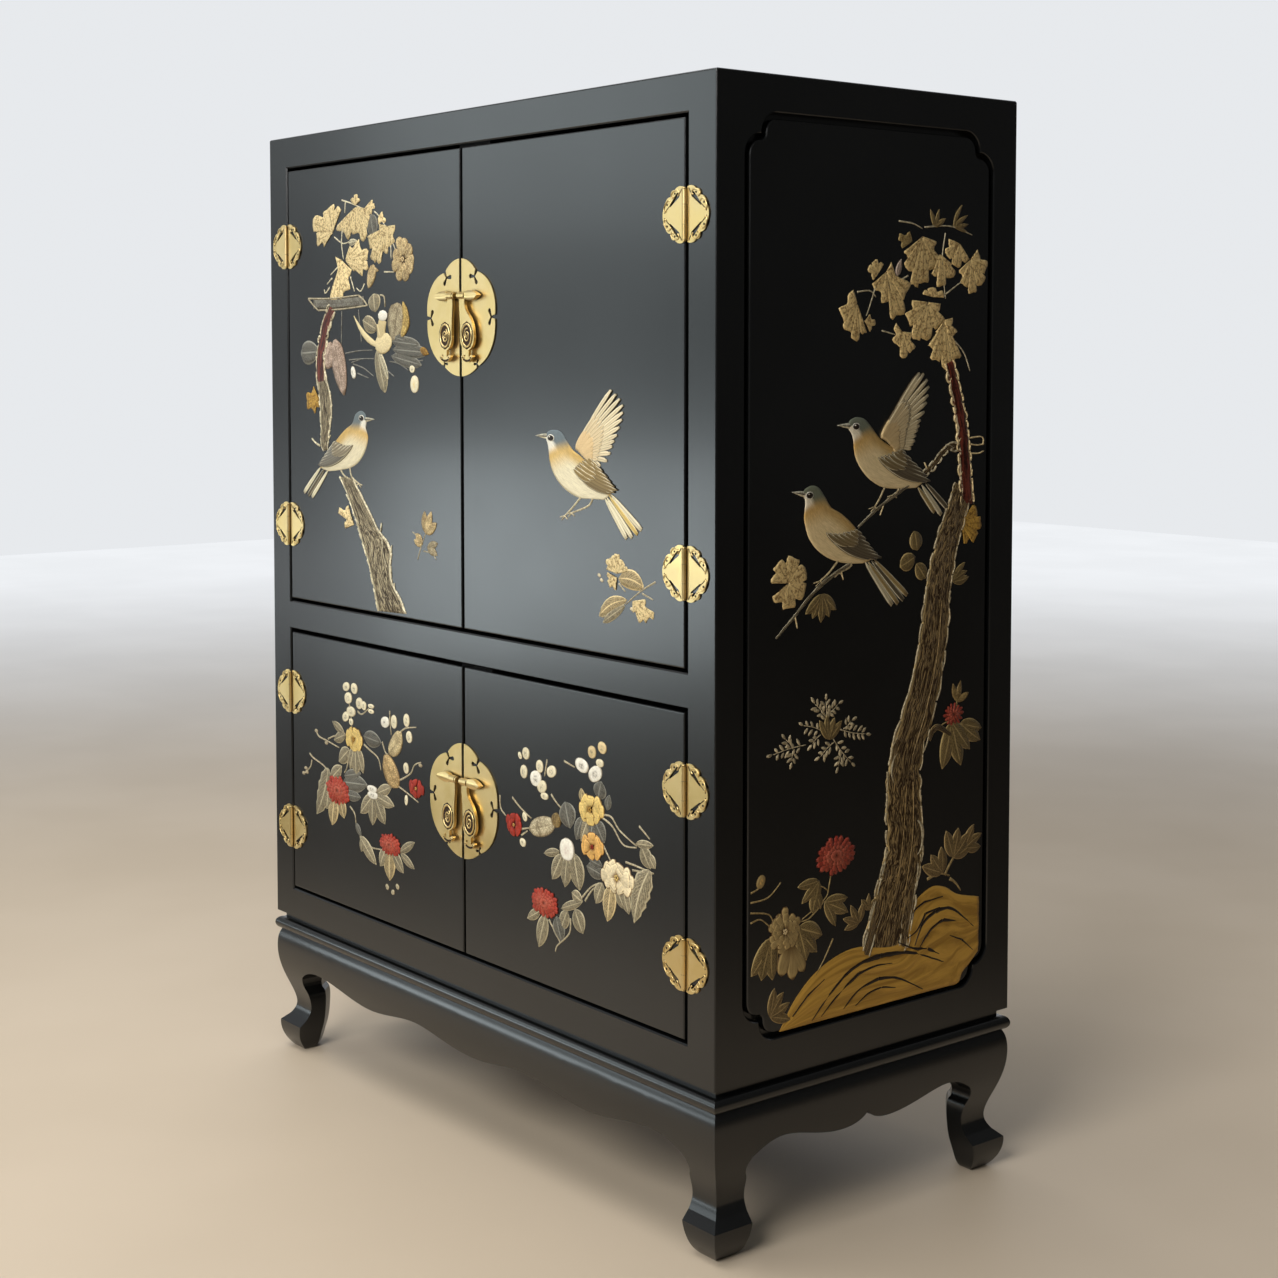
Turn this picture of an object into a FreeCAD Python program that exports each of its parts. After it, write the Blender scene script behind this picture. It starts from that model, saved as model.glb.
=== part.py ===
"""Black lacquered four-door cabinet on a cabriole stand. Millimetres, +Z up, front towards -Y."""

import FreeCAD, Part
import math
import os

from FreeCAD import Vector

# Overall sizes
case_width = 1100.0
case_depth = 540.0
case_height = 1254.0
stand_height = 225.0

# Corner posts, rails and boards of the case
post_width = 54.0
post_depth = 46.0
top_board_thickness = 20.0
top_rail_height = 29.0
middle_rail_height = 45.0
bottom_rail_height = 46.0
lower_opening_height = 424.0
floor_board_thickness = 20.0
back_panel_thickness = 10.0
back_panel_recess = 8.0
edge_round = 2.0

# Side frames: rails with indented corners round a fielded panel
side_thickness = 22.0
side_top_rail_height = 27.0
side_bottom_rail_height = 47.0
panel_thickness = 9.0
panel_lap = 10.0
panel_clearance = 0.4
groove_width = 8.0
corner_step = 27.0
field_sink = 0.8
groove_edge = 1.3

# Shelves on cleats
shelf_thickness = 18.0
shelf_setback = 20.0
shelf_clearance = 0.5
upper_shelf_rise = 350.0
lower_shelf_rise = 206.0
cleat_size = 20.0

# Doors
door_thickness = 22.0
door_gap = 5.0

# Butt hinges on the face of the doors
hinge_half_width = 44.0
hinge_half_height = 35.0
leaf_thickness = 1.8
knuckle_radius = 3.3
knuckle_half_length = 31.0
middle_knuckle = 24.0
knuckle_clearance = 0.4
hinge_pin_radius = 1.4
pin_fit = 0.05
pin_head_radius = 2.7
pin_head = 2.0
upper_hinge_inset = 124.0
lower_hinge_inset = 102.0

# Face plates, pull bars and drop pulls at the meeting edges
plate_half_width = 88.5
plate_half_height = 83.0
plate_thickness = 1.8
plate_setback = 0.5
plate_notch_share = 0.955
plate_shoulder_share = 0.89
upper_plate_rise = 102.0
lower_plate_rise = 14.0
slit_width = 2.6
slit_mouth = 7.0
slit_depth = 11.0
slit_spread = 8.5
slit_curl_radius = 3.3
lower_slit_share = 0.6
bar_rise = 30.5
bar_standoff = 7.8
bar_half_height = 7.2
bar_depth = 8.0
bar_length = 50.0
bar_setback = 2.0
bar_round = 2.4
collar_length = 3.2
collar_radius = 4.6
post_radius = 2.4
eye_length = 14.0
eye_radius = 5.2
eye_side_play = 0.4
journal_radius = 2.8
journal_fit = 0.08
drop_thickness = 4.2
drop_reach = 56.0
drop_lean = 12.5
scroll_half_width = 16.5
scroll_half_height = 21.0
foot_reach = 33.0
foot_half_width = 14.0
foot_half_height = 4.6

# Magnet catches
strike_width = 30.0
strike_height = 18.0
strike_thickness = 1.5
strike_inset = 6.0
catch_depth = 17.0
catch_gap = 0.3

# Stand: waist and torus moulding over cabriole legs and shaped aprons
waist_height = 11.0
waist_inset = 11.0
torus_height = 20.0
torus_inset = 7.0
moulding_overhang = 2.5
moulding_width = 72.0
leg_inset = 6.0
leg_head_width = 75.0
bulge_drop = 27.0
arch_drop = 52.0
arch_fall = 30.0
arch_run = 69.0
arch_ear = 12.0
lobe_drop = 71.0
rise_drop = 56.0
apron_thickness = 26.0
neck_inset = 22.0
crease_inset = 15.0
toe_inset = 3.0
neck_share = 0.71
crease_share = 0.475
toe_share = 0.375
ankle_share = 0.64
foot_share = 0.813
sole_inset = 20.0
sole_share = 0.413
inside_corner_share = 0.86

# Places worked out from the sizes above
hardware_reach = bar_standoff + max(bar_depth / 2, eye_radius)
front_y = -(case_depth + moulding_overhang - hardware_reach) / 2
back_y = front_y + case_depth
side_x = case_width / 2
open_x = side_x - post_width
frame_back_y = front_y + post_depth
panel_x = side_x - side_thickness
wall_y = back_y - back_panel_recess - back_panel_thickness
case_z = stand_height
top_z = case_z + case_height
lid_z = top_z - top_board_thickness
low0_z = case_z + bottom_rail_height
low1_z = low0_z + lower_opening_height
up0_z = low1_z + middle_rail_height
up1_z = lid_z - top_rail_height
leg_top = stand_height - waist_height - torus_height
spring_inset = leg_head_width - arch_ear
ankle_width = leg_head_width * ankle_share
foot_width = leg_head_width * foot_share
sole_width = leg_head_width * sole_share
hinge_x = open_x - door_gap / 2
hinge_y = front_y - knuckle_radius
upper_hinges = (up0_z + upper_hinge_inset, up1_z - upper_hinge_inset)
lower_hinges = (low0_z + lower_hinge_inset, low1_z - lower_hinge_inset)
upper_plate_z = (up0_z + up1_z) / 2 + upper_plate_rise
lower_plate_z = (low0_z + low1_z) / 2 + lower_plate_rise
bar_y = front_y - bar_standoff
meeting_x = door_gap / 2
bar_start = meeting_x + bar_setback
eye_start = bar_start + collar_length + eye_side_play
eye_end = eye_start + eye_length
drop_x = (eye_start + eye_end) / 2 + drop_lean
half_diagonal = math.sqrt(0.5)


def box(x0, x1, y0, y1, z0, z1):
    return Part.makeBox(x1 - x0, y1 - y0, z1 - z0, Vector(x0, y0, z0))


def line(a, b):
    return Part.LineSegment(a, b).toShape()


def arc(a, via, b):
    return Part.Arc(a, via, b).toShape()


def spline(points, first, last):
    curve = Part.BSplineCurve()
    curve.interpolate(Points=points, InitialTangent=first, FinalTangent=last)
    return curve.toShape()


def face(edges):
    return Part.Face(Part.Wire(edges))


def polygon(points):
    return Part.Face(Part.makePolygon(points + points[:1]))


def mirror_x(shape):
    return shape.mirror(Vector(0, 0, 0), Vector(1, 0, 0))


def mirror_y(shape):
    middle = Vector(0, (front_y + back_y) / 2, 0)
    return shape.mirror(middle, Vector(0, 1, 0))


def rounded(shape, radius, chosen):
    return shape.makeFillet(radius, [edge for edge in shape.Edges if chosen(edge)])


def lies(edge, axis, value):
    return all(abs(getattr(v.Point, axis) - value) < 1e-6 for v in edge.Vertexes)


# Case frame
def opening_bevel(z0, z1):
    """Wedge that eases the front edge of a door opening."""
    flare = edge_round + 1.0
    return Part.makeWedge(
        -open_x - flare, front_y - 1.0, z0 - flare, z0, -open_x,
        open_x + flare, front_y + edge_round, z1 + flare, z1, open_x,
    )


def indented_wire(x, inset):
    """Panel outline with two-step rounded corners, held in from the opening by the inset."""
    near = frame_back_y
    far = back_y - post_depth
    low = case_z + side_bottom_rail_height
    high = lid_z - side_top_rail_height
    r = corner_step
    rim = r - inset
    swing = rim * half_diagonal
    if inset > 0:
        waist = [(r, r + inset), (r + inset * half_diagonal,) * 2, (r + inset, r)]
    else:
        tip = (6 * r - math.sqrt(8 * rim * rim - 4 * r * r)) / 4
        waist = [(tip, tip)]
        swing_angle = (math.atan2(2 * r - tip, r - tip) if inset < 0 else math.pi / 2) / 2
    if inset > 0:
        via1 = (r - swing, 2 * r - swing)
    else:
        via1 = (r - rim * math.cos(swing_angle), 2 * r - rim * math.sin(swing_angle))
    via2 = (via1[1], via1[0])
    path = [(inset, 2 * r), via1] + waist + [via2, (2 * r, inset)]
    edges = []
    ends = []
    for corner_y, corner_z, sign_y, sign_z, flip in (
        (near, low, 1, 1, False),
        (far, low, -1, 1, True),
        (far, high, -1, -1, False),
        (near, high, 1, -1, True),
    ):
        points = [Vector(x, corner_y + sign_y * a, corner_z + sign_z * b) for a, b in path]
        if flip:
            points.reverse()
        if ends:
            edges.append(line(ends[-1], points[0]))
        for k in range(0, len(points) - 2, 2):
            edges.append(arc(points[k], points[k + 1], points[k + 2]))
        ends += [points[0], points[-1]]
    edges.append(line(ends[-1], ends[0]))
    return Part.Wire(edges)


def groove_bevel():
    """Flared block that eases the outer edge of the right side opening."""
    outer = indented_wire(side_x + 0.5, -groove_edge - 0.5)
    inner = indented_wire(side_x - groove_edge, 0.0)
    return Part.makeLoft([outer, inner], True, True)


def front_post():
    shape = box(open_x, side_x, front_y, frame_back_y, case_z, lid_z)
    shape = rounded(shape, edge_round, lambda e: lies(e, "x", side_x) and lies(e, "y", front_y))
    for z0, z1 in ((low0_z, low1_z), (up0_z, up1_z)):
        shape = shape.cut(opening_bevel(z0, z1))
    return shape.cut(groove_bevel())


def back_post():
    shape = box(open_x, side_x, back_y - post_depth, back_y, case_z, lid_z)
    shape = rounded(shape, edge_round, lambda e: lies(e, "x", side_x) and lies(e, "y", back_y))
    return shape.cut(groove_bevel())


def front_rail(z0, z1):
    shape = box(-open_x, open_x, front_y, frame_back_y, z0, z1)
    for low, high in ((low0_z, low1_z), (up0_z, up1_z)):
        shape = shape.cut(opening_bevel(low, high))
    return shape


def side_rail(edge_z, root_z):
    """Right side rail: lip with two corner ears, and a thinner back rabbeted for the panel."""
    up = 1 if root_z > edge_z else -1
    near = frame_back_y
    far = back_y - post_depth
    r = corner_step
    lip = panel_x + panel_thickness

    def at(y, drop):
        return Vector(lip, y, edge_z - up * drop)

    bend = r * half_diagonal
    edges = [
        line(Vector(lip, near, root_z), Vector(lip, far, root_z)),
        line(Vector(lip, far, root_z), at(far, 2 * r)),
        arc(at(far, 2 * r), at(far - r + bend, 2 * r - bend), at(far - r, r)),
        arc(at(far - r, r), at(far - 2 * r + bend, r - bend), at(far - 2 * r, 0)),
        line(at(far - 2 * r, 0), at(near + 2 * r, 0)),
        arc(at(near + 2 * r, 0), at(near + 2 * r - bend, r - bend), at(near + r, r)),
        arc(at(near + r, r), at(near + r - bend, 2 * r - bend), at(near, 2 * r)),
        line(at(near, 2 * r), Vector(lip, near, root_z)),
    ]
    shape = face(edges).extrude(Vector(side_thickness - panel_thickness, 0, 0))
    low, high = sorted((root_z, edge_z + up * panel_lap))
    shape = shape.fuse(box(panel_x, lip, near, far, low, high)).removeSplitter()
    return shape.cut(groove_bevel())


def side_rails():
    top = side_rail(lid_z - side_top_rail_height, lid_z)
    bottom = side_rail(case_z + side_bottom_rail_height, case_z)
    return [top, bottom]


def side_panel():
    """Right side panel: thin board behind the frame with a raised field inside the groove."""
    lip = panel_x + panel_thickness
    low = case_z + side_bottom_rail_height - panel_lap + panel_clearance
    high = lid_z - side_top_rail_height + panel_lap - panel_clearance
    near = frame_back_y + panel_clearance
    far = back_y - post_depth - panel_clearance
    board = box(panel_x, lip, near, far, low, high)
    crown = side_x - field_sink
    shoulder = crown - groove_edge
    field = Part.Face(indented_wire(lip, groove_width)).extrude(Vector(shoulder - lip, 0, 0))
    bevel = Part.makeLoft(
        [indented_wire(shoulder, groove_width), indented_wire(crown, groove_width + groove_edge)],
        True, True,
    )
    return board.fuse([field, bevel])


def top_board():
    shape = box(-side_x, side_x, front_y, back_y, lid_z, top_z)
    shape = rounded(shape, edge_round, lambda e: abs(e.Vertexes[0].Z - e.Vertexes[1].Z) > 1.0)
    return rounded(shape, edge_round * 1.5, lambda e: lies(e, "z", top_z))


def inside_board(front, z0, z1, play):
    """Board between the side panels, notched round the back posts."""
    shape = box(-panel_x + play, panel_x - play, front, wall_y - play, z0, z1)
    notch_y = back_y - post_depth - play
    for sign in (-1, 1):
        ends = sorted((sign * (open_x - play), sign * side_x))
        shape = shape.cut(box(ends[0], ends[1], notch_y, back_y, z0 - 1, z1 + 1))
    return shape


def shelf(floor_z, rise):
    z0 = floor_z + rise
    return inside_board(frame_back_y + shelf_setback, z0, z0 + shelf_thickness, shelf_clearance)


def cleat(floor_z, rise):
    z1 = floor_z + rise
    near = frame_back_y
    far = back_y - post_depth
    return box(panel_x - cleat_size, panel_x, near, far, z1 - cleat_size, z1)


def shelf_cleats():
    right = [cleat(up0_z, upper_shelf_rise), cleat(low0_z, lower_shelf_rise)]
    return right + [mirror_x(one) for one in right]


def back_panel():
    return box(-open_x, open_x, wall_y, wall_y + back_panel_thickness, case_z, lid_z)


# Doors and their catches
def right_door(z0, z1):
    shape = box(
        meeting_x, open_x - door_gap, front_y, front_y + door_thickness, z0 + door_gap, z1 - door_gap
    )
    return rounded(shape, edge_round, lambda e: lies(e, "y", front_y))


def right_strike(z1):
    x0 = meeting_x + strike_inset
    back = front_y + door_thickness
    high = z1 - door_gap - strike_inset
    return box(x0, x0 + strike_width, back, back + strike_thickness, high - strike_height, high)


def magnet_catch(z1):
    reach = meeting_x + strike_inset + strike_width
    near = front_y + door_thickness + strike_thickness + catch_gap
    low = z1 - door_gap - strike_inset - strike_height
    shape = box(-reach, reach, near, near + catch_depth, low, z1)
    return rounded(shape, 1.5, lambda e: lies(e, "z", low))


# Hinges, drawn about the axis with u pointing away from it across the leaf
def leaf_point(x, z, sign, u, v, y):
    return Vector(x + sign * u * hinge_half_width, y, z + v * hinge_half_height)


def leaf_outline(x, z, sign, y):
    """Scalloped half of a hinge plate, symmetrical above and below."""
    inner = (knuckle_radius + knuckle_clearance) / hinge_half_width
    path = [
        (inner, 0.96), (0.26, 1.0), (0.46, 0.88), (0.60, 0.83), (0.64, 0.64),
        (0.82, 0.56), (0.89, 0.32), (0.97, 0.19), (1.0, 0.0),
    ]
    path += [(u, -v) for u, v in reversed(path[:-1])]
    points = [leaf_point(x, z, sign, u, v, y) for u, v in path]
    edges = [arc(*points[k:k + 3]) for k in range(0, len(points) - 2, 2)]
    edges.append(line(points[-1], points[0]))
    return face(edges)


def comma_hole(x, z, sign, end):
    """Pierced comma near one corner of a hinge plate."""
    y = front_y - 2 * leaf_thickness
    head = leaf_point(x, z, sign, 0.33, 0.68 * end, y)
    tail = leaf_point(x, z, sign, 0.66, 0.33 * end, y)
    along = (tail - head).normalize()
    across = Vector(along.z, 0, -along.x)
    deep = Vector(0, 3 * leaf_thickness, 0)
    big = 0.1 * hinge_half_height
    small = 0.4 * big
    body = polygon([
        head + across * big, tail + across * small, tail - across * small, head - across * big
    ]).extrude(deep)
    rounds = [
        Part.makeCylinder(radius, 3 * leaf_thickness, centre, Vector(0, 1, 0))
        for centre, radius in ((head, big), (tail, small))
    ]
    return body.fuse(rounds)


def hinge_leaf(x, z, sign, spans):
    """Leaf on one side of the axis, with knuckles over the given height spans."""
    plate = leaf_outline(x, z, sign, front_y - leaf_thickness).extrude(Vector(0, leaf_thickness, 0))
    plate = plate.cut([comma_hole(x, z, sign, end) for end in (-1, 1)])
    parts = []
    for z0, z1 in spans:
        parts.append(Part.makeCylinder(knuckle_radius, z1 - z0, Vector(x, hinge_y, z + z0)))
        reach = sorted((x, x + sign * (knuckle_radius + knuckle_clearance + 1.0)))
        parts.append(box(reach[0], reach[1], front_y - leaf_thickness, front_y, z + z0, z + z1))
    shape = plate.fuse(parts).removeSplitter()
    bore = Part.makeCylinder(
        hinge_pin_radius + pin_fit, 4 * knuckle_half_length, Vector(x, hinge_y, z - 2 * knuckle_half_length)
    )
    return shape.cut(bore)


def door_leaf(z):
    return hinge_leaf(hinge_x, z, -1, [(-middle_knuckle / 2, middle_knuckle / 2)])


def frame_leaf(z):
    near = middle_knuckle / 2 + knuckle_clearance
    spans = [(-knuckle_half_length, -near), (near, knuckle_half_length)]
    return hinge_leaf(hinge_x, z, 1, spans)


def hinge_pin(z):
    """Pin with a button head at each end."""
    reach = knuckle_half_length + pin_head
    parts = [Part.makeCylinder(hinge_pin_radius, 2 * reach - 1, Vector(hinge_x, hinge_y, z - reach + 0.5))]
    for low in (z - reach, z + knuckle_half_length):
        head = Part.makeCylinder(pin_head_radius, pin_head, Vector(hinge_x, hinge_y, low))
        parts.append(head.makeFillet(pin_head * 0.4, head.Edges[0:1] + head.Edges[2:3]))
    return parts[0].fuse(parts[1:]).removeSplitter()


# Face plates and pulls
def plate_point(z, angle, share, y):
    return Vector(
        plate_half_width * share * math.cos(angle), y, z + plate_half_height * share * math.sin(angle)
    )


def cloud_slit(z, angle, notch, scale, y):
    """Slit that runs in from a notch of the rim and forks into two commas."""
    rim = plate_point(z, angle, notch + 0.03, y)
    inward = (Vector(0, y, z) - rim).normalize()
    across = Vector(inward.z, 0, -inward.x)
    deep = Vector(0, 3 * plate_thickness, 0)
    half = slit_width / 2
    mouth = slit_mouth / 2
    curl_radius = slit_curl_radius * scale
    fork = rim + inward * (slit_depth * scale)
    stem = polygon([
        rim + across * mouth, fork + across * half, fork - across * half, rim - across * mouth
    ]).extrude(deep)
    parts = []
    for sign in (-1, 1):
        curl = fork + (across * sign + inward * 0.5) * (slit_spread * scale)
        side = (curl - fork).normalize()
        normal = Vector(side.z, 0, -side.x)
        comma = polygon([
            fork + normal * half, curl + normal * curl_radius, curl - normal * curl_radius, fork - normal * half
        ])
        parts.append(comma.extrude(deep))
        parts.append(Part.makeCylinder(curl_radius, deep.y, curl, Vector(0, 1, 0)))
    return stem.fuse(parts)


def right_face_plate(z):
    """Half of a six-lobed plate, split at the meeting edges of the doors."""
    y = front_y - plate_thickness
    notches = [plate_notch_share, plate_shoulder_share, plate_shoulder_share] + 3 * [plate_notch_share]
    edges = []
    for k in range(6):
        start = math.radians(60 * k)
        edges.append(arc(
            plate_point(z, start, notches[k], y),
            plate_point(z, start + math.radians(30), 1.0, y),
            plate_point(z, start + math.radians(60), notches[(k + 1) % 6], y),
        ))
    shape = face(edges).extrude(Vector(0, plate_thickness, 0))
    shape = shape.common(box(
        meeting_x + plate_setback, 2 * plate_half_width, y - 1, front_y + 1,
        z - 2 * plate_half_height, z + 2 * plate_half_height,
    ))
    slits = [
        cloud_slit(z, math.radians(60 * k), notches[k], scale, y - plate_thickness)
        for k, scale in ((0, 1.0), (1, 1.0), (5, lower_slit_share))
    ]
    return shape.cut(slits)


def right_pull_bar(z):
    """Leaf-shaped bar on two posts, with a plain journal for the drop pull."""
    end = bar_start + bar_length
    collar = bar_start + collar_length
    leaf = collar + eye_length + 2 * eye_side_play
    full = leaf + 0.36 * (end - leaf)
    front = bar_y - bar_depth / 2

    def at(x, rise):
        return Vector(x, front, z + rise)

    def half(side):
        points = [at(leaf, side * collar_radius), at(full, side * bar_half_height), at(end - 1.0, side)]
        return spline(points, Vector(10, 0, side * 5), Vector(10, 0, side * -6))

    outline = face([
        half(1),
        arc(at(end - 1.0, 1.0), at(end, 0), at(end - 1.0, -1.0)),
        half(-1),
        line(at(leaf, -collar_radius), at(leaf, collar_radius)),
    ])
    crown = (bar_half_height ** 2 + bar_round ** 2) / (2 * bar_round)
    barrel = Part.makeCylinder(crown, bar_length, Vector(leaf - 1, front + crown, z), Vector(1, 0, 0))
    leaf_solid = outline.extrude(Vector(0, bar_depth, 0)).common(barrel)
    along = Vector(1, 0, 0)
    parts = [
        Part.makeCylinder(collar_radius, collar_length, Vector(bar_start, bar_y, z), along),
        Part.makeCylinder(journal_radius, leaf - bar_start, Vector(bar_start + 1.0, bar_y, z), along),
    ]
    plate_y = front_y - plate_thickness
    for x, radius in ((bar_start + collar_length / 2, collar_length * 0.42), (full, post_radius)):
        parts.append(Part.makeCylinder(radius, plate_y - bar_y, Vector(x, bar_y, z), Vector(0, 1, 0)))
    return leaf_solid.fuse(parts).removeSplitter()


def right_drop(z):
    """Hanging pull: eye, waisted neck, scroll boss and curled foot."""
    y = bar_y - drop_thickness / 2
    neck0 = eye_start + 0.5
    neck1 = eye_end - 0.5
    top = z - eye_radius * 0.6
    flare = z - bar_half_height - bar_round
    boss_z = z - drop_reach
    wide = scroll_half_width
    tall = scroll_half_height

    def at(x, zz):
        return Vector(x, y, zz)

    shoulder = 0.5 * (flare + boss_z) + 0.2 * tall
    inner = [at(neck0, flare), at((neck0 + drop_x - wide) / 2, shoulder), at(drop_x - wide, boss_z)]
    outer = [at(drop_x + wide, boss_z), at((neck1 + drop_x + wide) / 2, shoulder), at(neck1, flare)]
    down = Vector(0, 0, -30)
    edges = [
        line(at(neck1, top), at(neck0, top)),
        line(at(neck0, top), at(neck0, flare)),
        spline(inner, down, down),
        arc(at(drop_x - wide, boss_z), at(drop_x, boss_z - tall), at(drop_x + wide, boss_z)),
        spline(outer, -down, -down),
        line(at(neck1, flare), at(neck1, top)),
    ]
    deep = Vector(0, drop_thickness, 0)
    body = face(edges).extrude(deep)
    foot_z = boss_z - foot_reach
    side = foot_half_width
    lift = foot_half_height
    foot = face([
        arc(at(drop_x - side, foot_z + lift * 0.6), at(drop_x, foot_z - lift),
            at(drop_x + side, foot_z + lift * 0.6)),
        arc(at(drop_x + side, foot_z + lift * 0.6), at(drop_x + side * 0.8, foot_z + lift * 1.3),
            at(drop_x + side * 0.55, foot_z + lift)),
        arc(at(drop_x + side * 0.55, foot_z + lift), at(drop_x, foot_z + lift * 0.5),
            at(drop_x - side * 0.55, foot_z + lift)),
        arc(at(drop_x - side * 0.55, foot_z + lift), at(drop_x - side * 0.8, foot_z + lift * 1.3),
            at(drop_x - side, foot_z + lift * 0.6)),
    ]).extrude(deep)
    stem = box(
        drop_x - side * 0.3, drop_x + side * 0.3, y, y + drop_thickness, foot_z, boss_z - tall * 0.8
    )
    along = Vector(1, 0, 0)
    eye = Part.makeCylinder(eye_radius, eye_length, Vector(eye_start, bar_y, z), along)
    shape = body.fuse([foot, stem, eye]).removeSplitter()
    bore = Part.makeCylinder(
        journal_radius + journal_fit, eye_length + 4, Vector(eye_start - 2, bar_y, z), along
    )
    return shape.cut(bore)


# Stand
def leg_levels():
    """Heights that the leg's curves pass through, from the floor to the head."""
    spring = leg_top - arch_drop - arch_fall
    return {
        "bulge": leg_top - bulge_drop,
        "spring": spring,
        "neck": spring * neck_share,
        "crease": spring * crease_share,
        "toe": spring * toe_share,
    }


def outer_curve(place):
    """Outer curve from the head of the leg, over the knee and in to the ankle."""
    level = leg_levels()
    knee = [(leg_inset, leg_top), (0.0, level["bulge"])]
    shin = [(neck_inset * 0.46, level["spring"] * 1.02), (neck_inset, level["neck"])]
    points = [place(n, z) for n, z in knee + shin + [(crease_inset, level["crease"])]]
    first = place(leg_inset - 9, leg_top - 14) - place(leg_inset, leg_top)
    last = place(crease_inset - 12, level["crease"] - 16) - place(crease_inset, level["crease"])
    return spline(points, first, last)


def arch_height(inset):
    """Height of the quarter-ellipse arch between leg and apron."""
    spring = leg_top - arch_drop - arch_fall
    share = (spring_inset + arch_run - inset) / arch_run
    return spring + arch_fall * math.sqrt(1 - share * share)


def leg_face(place):
    """Sawn outline of a leg, from its outer S-curve round the hoof to the arch."""
    level = leg_levels()
    crease = place(crease_inset, level["crease"])
    toe = place(toe_inset, level["toe"])
    sole0 = place(sole_inset, 0)
    sole1 = place(sole_inset + sole_width, 0)
    heel = toe_inset + foot_width
    calf = neck_inset + ankle_width
    spring = place(spring_inset, level["spring"])
    mid = (spring_inset + leg_head_width) / 2
    ear = place(leg_head_width, arch_height(leg_head_width))
    edges = [
        outer_curve(place),
        line(crease, toe),
        arc(toe, place(toe_inset + (sole_inset - toe_inset) * 0.26, level["toe"] * 0.42), sole0),
        line(sole0, sole1),
        spline([
            sole1, place(heel - 3, level["toe"] * 0.5), place(heel + 2, level["toe"]),
            place(calf - 1, level["neck"] * 0.92), place(spring_inset + 4, level["spring"] * 0.88), spring,
        ], place(14, 7) - place(0, 0), place(0, 24) - place(0, 0)),
        arc(spring, place(mid - 2.4, arch_height(mid - 2.4)), ear),
        line(ear, place(leg_head_width, leg_top)),
        line(place(leg_head_width, leg_top), place(leg_inset, leg_top)),
    ]
    return face(edges)


def right_front_leg():
    """Leg sawn to the same outline from both faces, then pared back along its inside corner."""
    reach = 2 * leg_head_width
    across = leg_face(lambda n, z: Vector(side_x - n, front_y - 20, z)).extrude(Vector(0, reach, 0))
    along = leg_face(lambda n, z: Vector(side_x + 20, front_y + n, z)).extrude(Vector(-reach, 0, 0))

    def diagonal(n, z):
        run = n * inside_corner_share
        return Vector(side_x - run - reach, front_y + run - reach, z)

    pared = leg_face(diagonal).extrude(Vector(2 * reach, 2 * reach, 0))
    return across.common(along).common(pared)


def apron_section(place):
    """Bulging cross-section that carries on the knee of the legs."""
    level = leg_levels()
    crease = level["crease"]
    edges = [
        outer_curve(place),
        line(place(crease_inset, crease), place(apron_thickness, crease)),
        line(place(apron_thickness, crease), place(apron_thickness, leg_top)),
        line(place(apron_thickness, leg_top), place(leg_inset, leg_top)),
    ]
    return face(edges)


def shaped_edge(half, at, marks, cusped):
    """Lower edge of half an apron, from its middle out to the leg."""
    arch = half - spring_inset - arch_run
    end = half - leg_head_width
    slope = (arch_height(leg_head_width + 0.5) - arch_height(leg_head_width)) / 0.5
    points = [at(share * arch, leg_top - drop) for share, drop in marks]
    points += [at(arch, leg_top - arch_drop), at(end, arch_height(leg_head_width))]
    first = at(30, -42) - at(0, 0) if cusped else at(40, 0) - at(0, 0)
    last = at(40, -40 * slope) - at(0, 0)
    return spline(points, first, last), points[0], points[-1]


def apron_blank(half, at, marks, cusped):
    """Outline of a whole apron, mirrored about its middle."""
    right, middle, end = shaped_edge(half, at, marks, cusped)

    def back(x, z):
        return at(-x, z)

    left, _, far = shaped_edge(half, back, marks, cusped)
    run = half - leg_head_width
    return face([
        right,
        line(end, at(run, leg_top)),
        line(at(run, leg_top), back(run, leg_top)),
        line(back(run, leg_top), far),
        left,
    ])


def front_apron():
    """Front apron with three shallow lobes."""
    marks = [(0.0, lobe_drop), (1 / 3, rise_drop), (2 / 3, lobe_drop)]
    blank = apron_blank(side_x, lambda x, z: Vector(x, front_y - 20, z), marks, False)
    bar = apron_section(lambda n, z: Vector(-side_x, front_y + n, z)).extrude(Vector(2 * side_x, 0, 0))
    return bar.common(blank.extrude(Vector(0, 40 + apron_thickness, 0)))


def right_apron():
    """Side apron with two lobes either side of a raised point."""
    half = case_depth / 2
    middle = (front_y + back_y) / 2
    marks = [(0.0, rise_drop - 2), (0.36, lobe_drop - 1)]
    blank = apron_blank(half, lambda y, z: Vector(side_x + 20, middle + y, z), marks, True)
    bar = apron_section(lambda n, z: Vector(side_x - n, front_y, z)).extrude(Vector(0, case_depth, 0))
    return bar.common(blank.extrude(Vector(-40 - apron_thickness, 0, 0)))


def moulding_face(place):
    """Section of the waist and the torus below it."""
    z1 = stand_height
    z2 = z1 - waist_height
    z3 = z2 - torus_height
    edges = [
        line(place(moulding_width, z1), place(waist_inset, z1)),
        line(place(waist_inset, z1), place(waist_inset, z2)),
        line(place(waist_inset, z2), place(torus_inset, z2)),
        arc(place(torus_inset, z2), place(-moulding_overhang, (z2 + z3) / 2), place(torus_inset, z3)),
        line(place(torus_inset, z3), place(moulding_width, z3)),
        line(place(moulding_width, z3), place(moulding_width, z1)),
    ]
    return face(edges)


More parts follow.
